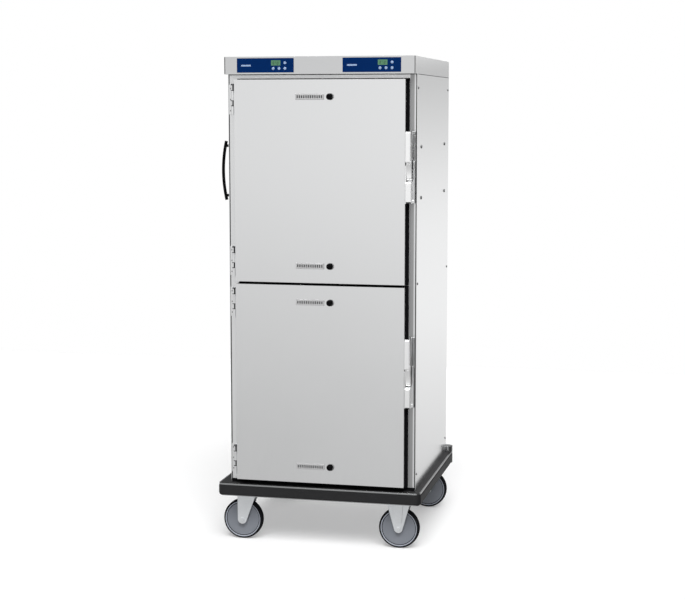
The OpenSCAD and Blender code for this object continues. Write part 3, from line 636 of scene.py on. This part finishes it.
class CART_OT_shell(bpy.types.Operator):
    """Finishes the cabinet's outer sheets and housing, with painted shade in the housing's darker steel
    and beside the latches, and adds dark lines of painted shade between them
    """

    bl_idname = "cart.shell"
    bl_label = "Cabinet shell"

    def execute(self, context):
        sheet = edges().sheet
        for node in ("rear_panel", "base_frame"):
            eased(node, shell_steel(), sheet)
        eased("side_panels", side_steel(), sheet * 1.4)
        eased("front_frame", frame_steel(), sheet, flats=False)
        eased("top_cover", cover_steel(), sheet)
        eased("control_fascia", housing_steel(), sheet)
        self.shadow_gap()
        self.corner_shade_lines()
        self.latch_side_shade()
        return {"FINISHED"}

    def shadow_gap(self):
        """A dark strip of painted shade in the gap under the housing, across the front and along both
        sides.
        """
        low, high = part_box("top_cover")
        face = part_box("front_frame")[0][1]
        line = details().line
        bottom, top = low[2] - details().shadow_gap, low[2] - 0.2 * MM
        front_inset, side_inset, side_drop = 2.0 * MM, 4.0 * MM, 0.4 * MM
        bm = bmesh.new()
        slab(bm, (low[0] + front_inset, face - line, bottom), (high[0] - front_inset, face, top))
        for x in (low[0] - 0.25 * MM, high[0] - 0.05 * MM):
            slab(bm, (x, face + side_inset, bottom + side_drop), (x + line, high[1] - side_inset, top))
        painted_shade_piece(bm, "housing_shadow_gap")

    def corner_shade_lines(self):
        """Dark lines of painted shade at the front corners of the frame and of the housing's fascia."""
        low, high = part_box("front_frame")
        cover_low, cover_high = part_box("top_cover")
        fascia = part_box("control_fascia")[0][1]
        line = details().line
        foot, sunk, margin = 2.0 * MM, 0.1 * MM, 1.5 * MM
        frame_insets, fascia_insets = (3.6 * MM, 0.4 * MM), (1.6 * MM, -1.0 * MM)
        bm = bmesh.new()
        for side, edge in ((-1.0, low[0]), (1.0, high[0])):
            left, right = sorted(edge - side * inset for inset in frame_insets)
            slab(bm, (left, low[1] - line, low[2] + foot),
                 (right, low[1] + sunk, cover_low[2] - details().shadow_gap))
            left, right = sorted(edge - side * inset for inset in fascia_insets)
            slab(bm, (left, fascia - line, cover_low[2] + margin),
                 (right, cover_low[1], cover_high[2] - margin))
        painted_shade_piece(bm, "corner_shade_lines")

    def latch_side_shade(self):
        """A darker copy of the frame steel on the stile beside the latches: painted shade and painted
        reflection of the dark door edge and seal.
        """
        low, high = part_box("front_frame")
        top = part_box("top_cover")[0][2] - details().shadow_gap
        outer, inner, foot = 10.0 * MM, 26.0 * MM, 2.0 * MM
        proud, sunk = 0.2 * MM, 0.1 * MM
        bm = bmesh.new()
        slab(bm, (high[0] - inner, low[1] - proud, low[2] + foot),
             (high[0] - outer, low[1] + sunk, top))
        bring_in(bm, "latch_side_shade", "cabinet", [stile_steel()])


class CART_OT_bumper(bpy.types.Operator):
    """Finishes the bumper's rail and insert, and adds its black cover and the toe strip, which is partly
    painted shade
    """

    bl_idname = "cart.bumper"
    bl_label = "Bumper"

    def execute(self, context):
        eased("bumper_rail", rail_metal(), edges().sheet)
        eased("bumper_vinyl", bumper_vinyl(), edges().rubber * 0.4)
        body_low, body_high = (Vector(corner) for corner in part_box("side_panels"))
        cover_top = body_low.z + 1.2 * MM
        self.cover(body_low, body_high, cover_top)
        self.toe_strip(body_low, body_high, cover_top)
        return {"FINISHED"}

    def cover(self, body_low, body_high, top):
        """The black cover on the rail's top, inside its bright edge."""
        low, high = (Vector(corner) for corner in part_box("bumper_rail"))
        edge = details().rail_edge
        rear = body_high.y - 8.0 * MM
        bm = bmesh.new()
        for start, end in (((low.x + edge, low.y + edge), (high.x - edge, body_low.y)),
                           ((body_high.x, body_low.y), (high.x - edge, rear)),
                           ((low.x + edge, body_low.y), (body_low.x, rear))):
            slab(bm, (*start, body_low.z), (*end, top), chamfer=0.5 * MM)
        bring_in(bm, "bumper_cover", "cabinet", [bumper_vinyl()])

    def toe_strip(self, body_low, body_high, cover_top):
        """A black strip across the cabinet's foot, set into the cover: partly a black toe trim, partly
        painted shade under the lower door's overhang.
        """
        inset, depth, height, sunk = 3.0 * MM, 2.5 * MM, 13.0 * MM, 0.4 * MM
        bm = bmesh.new()
        slab(bm, (body_low.x + inset, body_low.y - depth, cover_top - sunk),
             (body_high.x - inset, body_low.y, body_low.z + height), chamfer=0.6 * MM)
        painted_shade_piece(bm, "toe_strip")


class CART_OT_doors(bpy.types.Operator):
    """Finishes the doors' skins, liners and seals"""

    bl_idname = "cart.doors"
    bl_label = "Doors"

    def execute(self, context):
        for door in DOORS:
            eased(door + "_door_skin", shell_steel(), edges().sheet)
            eased(door + "_door_liner", liner_steel(), edges().sheet)
            eased(door + "_door_seal", seal_rubber(), edges().rubber)
        return {"FINISHED"}


# The knuckles' radius, their gaps' drops under the leaf's top, and the height of a gap
KNUCKLE_RADIUS = 7.0 * MM
KNUCKLE_GAPS = [drop * MM for drop in (2.8, 24.0, 62.6, 82.0)]
GAP_HEIGHT = 2.6 * MM


class CART_OT_hinges(bpy.types.Operator):
    """Finishes the hinges, and adds their screws and painted shade in the gaps of their knuckles"""

    bl_idname = "cart.hinges"
    bl_label = "Hinges"

    def execute(self, context):
        eased("hinge_frame_leaves", hinge_steel(), edges().small)
        eased("hinge_pins", screw_steel(), edges().small)
        for door in DOORS:
            eased(door + "_door_leaves", hinge_steel(), edges().small)
        leaves = solids_of("hinge_frame_leaves")
        self.screws(leaves)
        self.frame_gaps(leaves)
        for door in DOORS:
            self.door_gaps(door, leaves)
        return {"FINISHED"}

    def screws(self, leaves):
        """Three screws down each frame leaf."""
        inset, leaf_front = 8.0 * MM, 3.0 * MM
        head_radius, head_height = 3.6 * MM, 1.5 * MM
        bm = bmesh.new()
        for low, high in leaves:
            for share in (0.13, 0.5, 0.87):
                spot = (low.x + inset, high.y - leaf_front, low.z + share * (high.z - low.z))
                cross_screw(bm, spot, (0.0, -1.0, 0.0), head_radius, head_height)
        bring_in(bm, "hinge_screws", "cabinet", [screw_steel(), seal_rubber()])

    def slot_behind(self, bm, low, high, first_drop, last_drop):
        """A dark strip of painted shade between the knuckles and the leaf, from one drop under its top
        to another.
        """
        x, y = high.x - KNUCKLE_RADIUS, low.y + KNUCKLE_RADIUS
        left, right, proud = 0.8 * MM, 5.0 * MM, 0.2 * MM
        slab(bm, (x + left, low.y - proud, high.z - last_drop), (x + right, y, high.z - first_drop))

    def frame_gaps(self, leaves):
        """Dark rings of painted shade between the knuckles, and the shade strip beside the upper ones.
        """
        radius = KNUCKLE_RADIUS + details().line
        bm = bmesh.new()
        for low, high in leaves:
            x, y = high.x - KNUCKLE_RADIUS, low.y + KNUCKLE_RADIUS
            for drop in KNUCKLE_GAPS:
                bottom = high.z - drop
                rod(bm, (x, y, bottom), (x, y, bottom + GAP_HEIGHT), radius, sides=32)
            self.slot_behind(bm, low, high, 0.2 * MM, KNUCKLE_GAPS[1])
        painted_shade_piece(bm, "hinge_gaps")

    def door_gaps(self, door, leaves):
        """The painted shade strips beside the lower knuckles, which swing with the door."""
        bottom, top = (corner[2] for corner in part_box(door + "_door_skin"))
        bm = bmesh.new()
        for low, high in leaves:
            if bottom < low.z < top:
                self.slot_behind(bm, low, high, KNUCKLE_GAPS[2] - GAP_HEIGHT, KNUCKLE_GAPS[3])
        painted_shade_piece(bm, door + "_hinge_gaps", node_body(door + "_door_leaves"))


# A strike's dark strips of painted shade: left and right in millimetres from its left edge, bottom and
# top as shares
STRIKE_SHADE_STRIPS = ((4.5, 7.5, 0.0, 0.3), (5.5, 8.5, 0.3, 0.6), (16.8, 19.0, 0.0, 0.6),
                  (11.0, 12.4, 0.6, 1.0), (17.6, 19.0, 0.6, 1.0))


class CART_OT_latches(bpy.types.Operator):
    """Finishes the latches' bodies, levers and strikes, and adds dark strips of painted shade on the
    strikes
    """

    bl_idname = "cart.latches"
    bl_label = "Latches"

    def execute(self, context):
        eased("latch_strikes", hinge_steel(), edges().small)
        for door in DOORS:
            eased(door + "_latch_body", latch_cast(), edges().small * 1.6)
            eased(door + "_latch_lever", latch_cast(), edges().small * 2.0)
        self.shade_strips()
        return {"FINISHED"}

    def shade_strips(self):
        """Dark upright strips of painted shade on the strikes' fronts."""
        proud, sunk, end = 0.2 * MM, 0.3 * MM, 1.0 * MM
        bm = bmesh.new()
        for low, high in solids_of("latch_strikes"):
            height = high.z - low.z
            for left, right, bottom, top in STRIKE_SHADE_STRIPS:
                slab(bm, (low.x + left * MM, low.y - proud, low.z + bottom * height + end),
                     (low.x + right * MM, low.y + sunk, low.z + top * height - end))
        painted_shade_piece(bm, "strike_shade_strips")


class CART_OT_vents(bpy.types.Operator):
    """Finishes the vent bars and shutters, and adds the knobs' flutes"""

    bl_idname = "cart.vents"
    bl_label = "Door vents"

    def execute(self, context):
        for door in DOORS:
            eased(door + "_vent_bars", vent_metal(), edges().small)
            for where in ("top", "bottom"):
                self.shutter(f"{door}_vent_{where}_shutter")
        return {"FINISHED"}

    def shutter(self, node):
        """A shutter with flutes round its knob and a flat button in the knob's middle."""
        eased(node, black_plastic(), edges().small)
        low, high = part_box(node)
        inset, flute, button = 8.0 * MM, 1.1 * MM, 6.0 * MM
        centre = Vector((high[0] - inset, 0.0, (low[2] + high[2]) / 2))
        ring = details().knob - 0.6 * MM
        front, rear = low[1] + 5.6 * MM, low[1] + 10.6 * MM
        button_rear, button_front = low[1] + 0.4 * MM, low[1] - 0.1 * MM
        bm = bmesh.new()
        count = edges().flutes
        for i in range(count):
            angle = math.tau * i / count
            spot = centre + Vector((math.cos(angle), 0.0, math.sin(angle))) * ring
            rod(bm, (spot.x, front, spot.z), (spot.x, rear, spot.z), flute, sides=8)
        rod(bm, (centre.x, button_rear, centre.z), (centre.x, button_front, centre.z), button,
            sides=32)
        bring_in(bm, node + "_flutes", node, [black_plastic()])


# The lit strokes of the seven-segment figures in use
STROKES = {0: "abcdef", 7: "abc"}


class CART_OT_controls(bpy.types.Operator):
    """Finishes the control panels, and builds their displays, keys and plain bars"""

    bl_idname = "cart.controls"
    bl_label = "Control panels"

    def execute(self, context):
        eased("control_panels", overlay_film(), edges().small * 0.4)
        repaint("controllers", board_case())
        panels = sorted(solids_of("control_panels"), key=lambda pair: pair[0].x)
        for side, (low, high) in zip(("left", "right"), panels):
            self.panel(side, low, high)
            for i in range(1, 5):
                self.key(f"{side}_key_{i}")
        return {"FINISHED"}

    def panel(self, side, low, high):
        """The lit window, its digits and a plain bar where a badge would be."""
        front = low.y
        wide, tall = details().window_width, details().window_height
        window_inset, window_rise, border = 134.5 * MM, 9.0 * MM, 0.3 * MM
        first_digit, digit_pitch, digit_rise = 7.0 * MM, 8.6 * MM, 4.5 * MM
        bar_inset, bar_drop = 17.0 * MM, 6.5 * MM
        left = low.x + window_inset
        window_z = (low.z + high.z) / 2 + window_rise
        bottom = window_z - tall / 2
        bm = bmesh.new()
        slab(bm, (left + border, front + 0.1 * MM, bottom + border),
             (left + wide - border, front + 0.4 * MM, bottom + tall - border))
        bring_in(bm, side + "_display_window", "cabinet", [display_glass()])
        bm = bmesh.new()
        for i, number in enumerate((0, 7, 0)):
            digit_left = left + first_digit + i * digit_pitch
            self.digit(bm, digit_left, bottom + digit_rise, front, number)
        bring_in(bm, side + "_display_digits", "cabinet", [seal_rubber()])
        bar_left, bar_top = low.x + bar_inset, window_z - bar_drop
        bm = bmesh.new()
        slab(bm, (bar_left, front - 0.15 * MM, bar_top - details().badge_height),
             (bar_left + details().badge_width, front + 0.05 * MM, bar_top), chamfer=0.07 * MM)
        bring_in(bm, side + "_plain_badge", "cabinet", [key_plastic()])

    def digit(self, bm, left, bottom, front, number):
        """One seven-segment figure."""
        wide, tall, line = 4.6 * MM, 10.0 * MM, 0.9 * MM
        half = tall / 2
        spots = {"a": (0.0, tall - line, wide, line), "b": (wide - line, half, line, half),
                 "c": (wide - line, 0.0, line, half), "d": (0.0, 0.0, wide, line),
                 "e": (0.0, 0.0, line, half), "f": (0.0, half, line, half)}
        for letter in STROKES[number]:
            x, z, across, up = spots[letter]
            slab(bm, (left + x, front, bottom + z),
                 (left + x + across, front + 0.15 * MM, bottom + z + up))

    def key(self, node):
        """A key cap with a soft crown over its stem, which stops short of the controller."""
        low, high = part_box(node)
        centre = middle(node)
        radius = (high[0] - low[0]) / 2
        stem, stem_end = radius * 0.5, high[1] - low[1] - 0.3 * MM
        skirt = 3.2 * MM
        bm = bmesh.new()
        profile = [(0.0, 0.0), (radius * 0.55, 0.12 * MM), (radius * 0.85, 0.35 * MM),
                   (radius, 1.0 * MM), (radius, skirt), (stem, skirt), (stem, stem_end),
                   (0.0, stem_end)]
        turned(bm, profile, (centre.x, low[1], centre.z), (0.0, 1.0, 0.0), sides=32)
        bring_in(bm, node + "_cap", node, [key_plastic()], (node,))


class CART_OT_handles(bpy.types.Operator):
    """Finishes the push handles"""

    bl_idname = "cart.handles"
    bl_label = "Push handles"

    def execute(self, context):
        eased("push_handles", black_plastic(), edges().small)
        return {"FINISHED"}


class CART_OT_fasteners(bpy.types.Operator):
    """Replaces the side and rear screws by cross-recess heads and plugs"""

    bl_idname = "cart.fasteners"
    bl_label = "Screws and plugs"

    def execute(self, context):
        side_low, side_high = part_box("side_panels")
        stand = details().screw_stand
        rear_head, smallest_plug = 5.0 * MM, 6.0 * MM
        bm = bmesh.new()
        for low, high in solids_of("panel_screws"):
            centre = (low + high) / 2
            radius = max(high.z - low.z, high.y - low.y) / 2
            if centre.x < side_low[0]:
                cross_screw(bm, (side_low[0], centre.y, centre.z), (-1.0, 0.0, 0.0), radius, stand)
            elif high.y > side_high[1] + 1.0 * MM:
                cross_screw(bm, (centre.x, side_high[1], centre.z), (0.0, 1.0, 0.0), rear_head, stand)
            elif radius > smallest_plug:
                self.plug(bm, (side_high[0], centre.y, centre.z), radius)
            else:
                cross_screw(bm, (side_high[0], centre.y, centre.z), (1.0, 0.0, 0.0), radius, stand)
        bring_in(bm, "panel_fasteners", "cabinet", [screw_steel(), seal_rubber()],
                 ("panel_screws",))
        return {"FINISHED"}

    def plug(self, bm, at, radius):
        """A low domed plug pressed into the side sheet."""
        top, sunk = 3.0 * MM, -1.9 * MM
        profile = [(0.0, top), (radius * 0.72, top), (radius * 0.95, 1.6 * MM), (radius, 0.2 * MM),
                   (radius, sunk), (0.0, sunk)]
        turned(bm, profile, at, (1.0, 0.0, 0.0), sides=24)


class CART_OT_casters(bpy.types.Operator):
    """Builds the wheels, and finishes the forks, plates and axles"""

    bl_idname = "cart.casters"
    bl_label = "Casters"

    def execute(self, context):
        for node in ["swivel_plates", "rigid_forks"] + [name + "_fork" for name in LEFT_CASTERS]:
            eased(node, zinc_plate(), edges().small)
        for node in ["rigid_axles"] + [name + "_axle" for name in LEFT_CASTERS]:
            eased(node, zinc_plate(), edges().small * 0.8)
        for name in LEFT_CASTERS + RIGHT_CASTERS:
            self.wheel(name + "_wheel")
        return {"FINISHED"}

    def wheel(self, node):
        """A wheel turned in one go: hub, dished disc, groove, rim and tyre."""
        low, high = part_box(node)
        centre = middle(node)
        radius = (high[2] - low[2]) / 2
        hub_half = (high[1] - low[1]) / 2
        tread = details().tread
        rim = radius - details().tyre_depth
        bore, hub, tyre_from = 5.05 * MM, 18.0 * MM, radius - 8.2 * MM
        hub_end = [(bore, hub_half), (hub - 1.0 * MM, hub_half), (hub, hub_half - 1.0 * MM)]
        disc = [(hub + 1.0 * MM, tread - 6.0 * MM), (rim - 14.0 * MM, tread - 7.0 * MM),
                (rim - 4.0 * MM, tread - 4.4 * MM)]
        groove = [(rim - 2.4 * MM, tread - 4.6 * MM), (rim - 1.2 * MM, tread - 6.2 * MM),
                  (rim, tread - 3.2 * MM)]
        rim_ring = [(rim + 1.4 * MM, tread - 1.6 * MM), (radius - 8.6 * MM, tread - 1.0 * MM),
                    (radius - 8.0 * MM, tread - 1.6 * MM)]
        tyre = [(radius - 7.2 * MM, tread - 1.2 * MM), (radius - 2.0 * MM, tread - 3.0 * MM),
                (radius - 0.5 * MM, tread - 7.0 * MM), (radius, 4.0 * MM)]
        outer = hub_end + disc + groove + rim_ring + tyre
        profile = outer + [(r, -along) for r, along in reversed(outer)]
        bm = bmesh.new()
        turned(bm, profile, centre, (0.0, 1.0, 0.0), sides=edges().turns, closed=True)
        # The tread takes the dark tyre rubber, and so does the groove inside the rim, as painted shade.
        for face in bm.faces:
            spot = face.calc_center_median() - centre
            r = math.hypot(spot.x, spot.z)
            if r > tyre_from or rim - 3.2 * MM < r < rim - 0.4 * MM:
                face.material_index = 1
            elif r > rim - 0.4 * MM:
                face.material_index = 2
        bring_in(bm, node + "_turned", node,
                 [wheel_moulding(), tyre_rubber(), wheel_rim()], (node,))


class CART_OT_interior(bpy.types.Operator):
    """Finishes the compartments, racks, insulation and elements, and builds the wire shelves"""

    bl_idname = "cart.interior"
    bl_label = "Compartments"

    def execute(self, context):
        for door in DOORS:
            repaint(door + "_cavity", liner_steel())
        repaint("insulation", mineral_wool())
        eased("side_racks", liner_steel(), edges().small)
        eased("heating_elements", element_metal(), edges().small)
        for door in DOORS:
            self.shelf(door + "_shelf")
        return {"FINISHED"}

    def shelf(self, node):
        """A wire shelf: a rod all round, three rods across and thin wires from front to rear."""
        low, high = (Vector(corner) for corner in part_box(node))
        rim, wire = details().shelf_rim, details().shelf_wire
        rim_z, cross_z, wire_z = low.z + rim, low.z + wire, low.z + 6.0 * MM - wire
        corners = [(low.x + rim, low.y + rim), (high.x - rim, low.y + rim),
                   (high.x - rim, high.y - rim), (low.x + rim, high.y - rim)]
        bm = bmesh.new()
        for start, end in zip(corners, corners[1:] + corners[:1]):
            rod(bm, (*start, rim_z), (*end, rim_z), rim, sides=12)
        for share in (0.25, 0.5, 0.75):
            y = low.y + share * (high.y - low.y)
            rod(bm, (low.x + rim, y, cross_z), (high.x - rim, y, cross_z), wire, sides=10)
        count = edges().wires
        for i in range(count):
            x = low.x + (i + 1) * (high.x - low.x) / (count + 1)
            rod(bm, (x, low.y + rim, wire_z), (x, high.y - rim, wire_z), wire * 0.9, sides=8)
        bring_in(bm, node + "_wires", node, [wire_chrome()], (node,))


class CART_OT_inlet(bpy.types.Operator):
    """Finishes the mains inlet"""

    bl_idname = "cart.inlet"
    bl_label = "Mains inlet"

    def execute(self, context):
        eased("mains_inlet", black_plastic(), edges().small)
        return {"FINISHED"}


# Stage


def ramp(tree, start, end, first=0.0, last=1.0, soft=False):
    """A node whose value runs from first to last while its input runs from start to end."""
    return add_node(tree, "ShaderNodeMapRange",
                    {"From Min": start, "From Max": end, "To Min": first, "To Max": last},
                    interpolation_type="SMOOTHSTEP" if soft else "LINEAR")


class CART_OT_stage(bpy.types.Operator):
    """Sets up the floor, the surroundings, the lamps and the camera"""

    bl_idname = "cart.stage"
    bl_label = "Floor, lamps and camera"

    def execute(self, context):
        self.floor()
        self.surroundings()
        self.lamps()
        self.camera()
        context.scene.view_settings.view_transform = "Standard"
        return {"FINISHED"}

    def floor(self):
        """A wide pale floor that metal doesn't mirror."""
        reach, middle_place = (8.0, 6.0, 1.0), (0.0, -2.0, 0.0)
        bm = bmesh.new()
        bmesh.ops.create_grid(bm, x_segments=1, y_segments=1, size=1.0)
        bmesh.ops.scale(bm, vec=reach, verts=bm.verts[:])
        bmesh.ops.translate(bm, vec=middle_place, verts=bm.verts[:])
        mesh = bpy.data.meshes.new("floor")
        bm.to_mesh(mesh)
        bm.free()
        floor = bpy.data.objects.new("floor", mesh)
        bpy.context.scene.collection.objects.link(floor)
        floor.visible_glossy = False
        mesh.materials.append(self.floor_paint())

    def floor_paint(self):
        """A dull paint that is paler, and lifted a little, where the camera sees it."""
        made = bpy.data.materials.new("floor_paint")
        made.use_nodes = True
        tree = made.node_tree
        link = tree.links.new
        tree.nodes.remove(tree.nodes["Principled BSDF"])
        paint = add_node(tree, "ShaderNodeMix", data_type="RGBA")
        paint.inputs["A"].default_value = (*stage().floor, 1.0)
        paint.inputs["B"].default_value = (*stage().paper, 1.0)
        dull = add_node(tree, "ShaderNodeBsdfDiffuse")
        lift = add_node(tree, "ShaderNodeEmission", {"Color": (1.0, 1.0, 1.0, 1.0)})
        path = add_node(tree, "ShaderNodeLightPath")
        amount = add_node(tree, "ShaderNodeMath", {1: stage().lift}, operation="MULTIPLY")
        both = add_node(tree, "ShaderNodeAddShader")
        link(path.outputs["Is Camera Ray"], paint.inputs["Factor"])
        link(paint.outputs["Result"], dull.inputs["Color"])
        link(path.outputs["Is Camera Ray"], amount.inputs[0])
        link(amount.outputs[0], lift.inputs["Strength"])
        link(dull.outputs[0], both.inputs[0])
        link(lift.outputs[0], both.inputs[1])
        link(both.outputs[0], tree.nodes["Material Output"].inputs["Surface"])
        return made

    def surroundings(self):
        """White to the camera, an even level to dull surfaces, and a plain room to metal."""
        world = bpy.data.worlds.new("studio")
        bpy.context.scene.world = world
        world.use_nodes = True
        tree = world.node_tree
        link = tree.links.new
        back = tree.nodes["Background"]
        back.inputs["Color"].default_value = (1.0, 1.0, 1.0, 1.0)
        path = add_node(tree, "ShaderNodeLightPath")
        place = add_node(tree, "ShaderNodeTexCoord")
        split = add_node(tree, "ShaderNodeSeparateXYZ")
        link(place.outputs["Generated"], split.inputs[0])

        # In front and behind: from the floor's level below the horizon to the ceiling's above it
        low_front = ramp(tree, -0.24, 0.0, 0.53, 1.04)
        front = ramp(tree, 0.0, 0.12, last=stage().ceiling, soft=True)
        low_rear = ramp(tree, -0.26, -0.13, 0.62, 0.90)
        rear = ramp(tree, -0.09, 0.10, last=stage().rear_ceiling, soft=True)
        for node in (low_front, front, low_rear, rear):
            link(split.outputs["Z"], node.inputs["Value"])
        link(low_front.outputs["Result"], front.inputs["To Min"])
        link(low_rear.outputs["Result"], rear.inputs["To Min"])
        depth = ramp(tree, -0.3, 0.3)
        link(split.outputs["Y"], depth.inputs["Value"])
        link(front.outputs["Result"], depth.inputs["To Min"])
        link(rear.outputs["Result"], depth.inputs["To Max"])

        # Across: a little brighter towards the right, then the dark flank
        tilt = ramp(tree, -0.32, -0.16, 0.92, 1.10)
        tilted = add_node(tree, "ShaderNodeMath", operation="MULTIPLY")
        side = ramp(tree, 0.45, 0.80, last=stage().flank, soft=True)
        for node in (tilt, side):
            link(split.outputs["X"], node.inputs["Value"])
        link(tilt.outputs["Result"], tilted.inputs[0])
        link(depth.outputs["Result"], tilted.inputs[1])
        link(tilted.outputs[0], side.inputs["To Min"])

        # By kind of ray: dull surfaces, metal, and the camera's own view
        shown = ramp(tree, 0.0, 1.0, first=stage().sky)
        seen = add_node(tree, "ShaderNodeMath", operation="MAXIMUM")
        level = ramp(tree, 0.0, 1.0)
        link(path.outputs["Is Glossy Ray"], shown.inputs["Value"])
        link(side.outputs["Result"], shown.inputs["To Max"])
        link(path.outputs["Is Camera Ray"], seen.inputs[0])
        link(path.outputs["Is Transmission Ray"], seen.inputs[1])
        link(seen.outputs[0], level.inputs["Value"])
        link(shown.outputs["Result"], level.inputs["To Min"])
        link(level.outputs["Result"], back.inputs["Strength"])

    def lamps(self):
        """A broad main lamp from the front, and a weak one over the floor behind."""
        main = bpy.data.lights.new("main_lamp", "SUN")
        main.energy = stage().sun
        main.angle = math.radians(38.0)
        rear = bpy.data.lights.new("rear_lamp", "AREA")
        rear.energy = stage().rear
        rear.size = 3.0
        main_place, main_aim = (1.0, -4.0, 5.6), (0.0, 0.0, 0.4)
        rear_place, rear_aim = (1.4, 3.4, 2.6), (1.0, 2.6, 0.0)
        for light, place, aim in ((main, main_place, main_aim), (rear, rear_place, rear_aim)):
            lamp = bpy.data.objects.new(light.name, light)
            bpy.context.scene.collection.objects.link(lamp)
            lamp.location = place
            towards = Vector(aim) - Vector(place)
            lamp.rotation_euler = towards.to_track_quat("-Z", "Y").to_euler()

    def camera(self):
        """The photograph's viewpoint."""
        values = stage()
        data = bpy.data.cameras.new("camera")
        data.lens = values.lens
        data.sensor_width = 36.0
        data.sensor_fit = "HORIZONTAL"
        camera = bpy.data.objects.new("camera", data)
        bpy.context.scene.collection.objects.link(camera)
        camera.location = (values.camera_x, values.camera_y, values.camera_z)
        camera.rotation_euler = (math.pi / 2 - values.pitch, 0.0, values.yaw)
        bpy.context.scene.camera = camera


PIECES = (CART_OT_shell, CART_OT_bumper, CART_OT_doors, CART_OT_hinges, CART_OT_latches,
          CART_OT_vents, CART_OT_controls, CART_OT_handles, CART_OT_fasteners, CART_OT_casters,
          CART_OT_interior, CART_OT_inlet, CART_OT_stage)


class CART_PT_panel(bpy.types.Panel):
    """Lists the cart's pieces and their sizes"""

    bl_idname = "CART_PT_panel"
    bl_label = "Meal Cart"
    bl_space_type = "VIEW_3D"
    bl_region_type = "UI"
    bl_category = "Cart"

    def draw(self, context):
        for piece in PIECES:
            self.layout.operator(piece.bl_idname)
        for name, group in GROUPS:
            column = self.layout.column()
            for prop in group.__annotations__:
                column.prop(getattr(context.scene, name), prop)


GROUPS = (("cart_finishes", CartFinishes), ("cart_edges", CartEdges), ("cart_details", CartDetails),
          ("cart_stage", CartStage))
CLASSES = tuple(group for name, group in GROUPS) + PIECES + (CART_PT_panel,)


def register():
    for cls in CLASSES:
        bpy.utils.register_class(cls)
    for name, group in GROUPS:
        setattr(bpy.types.Scene, name, PointerProperty(type=group))


def unregister():
    for name, group in GROUPS:
        delattr(bpy.types.Scene, name)
    for cls in reversed(CLASSES):
        bpy.utils.unregister_class(cls)


def main():
    """Builds every piece in order."""
    register()
    for piece in PIECES:
        group, name = piece.bl_idname.split(".")
        getattr(getattr(bpy.ops, group), name)()
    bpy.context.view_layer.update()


if __name__ == "__main__":
    main()
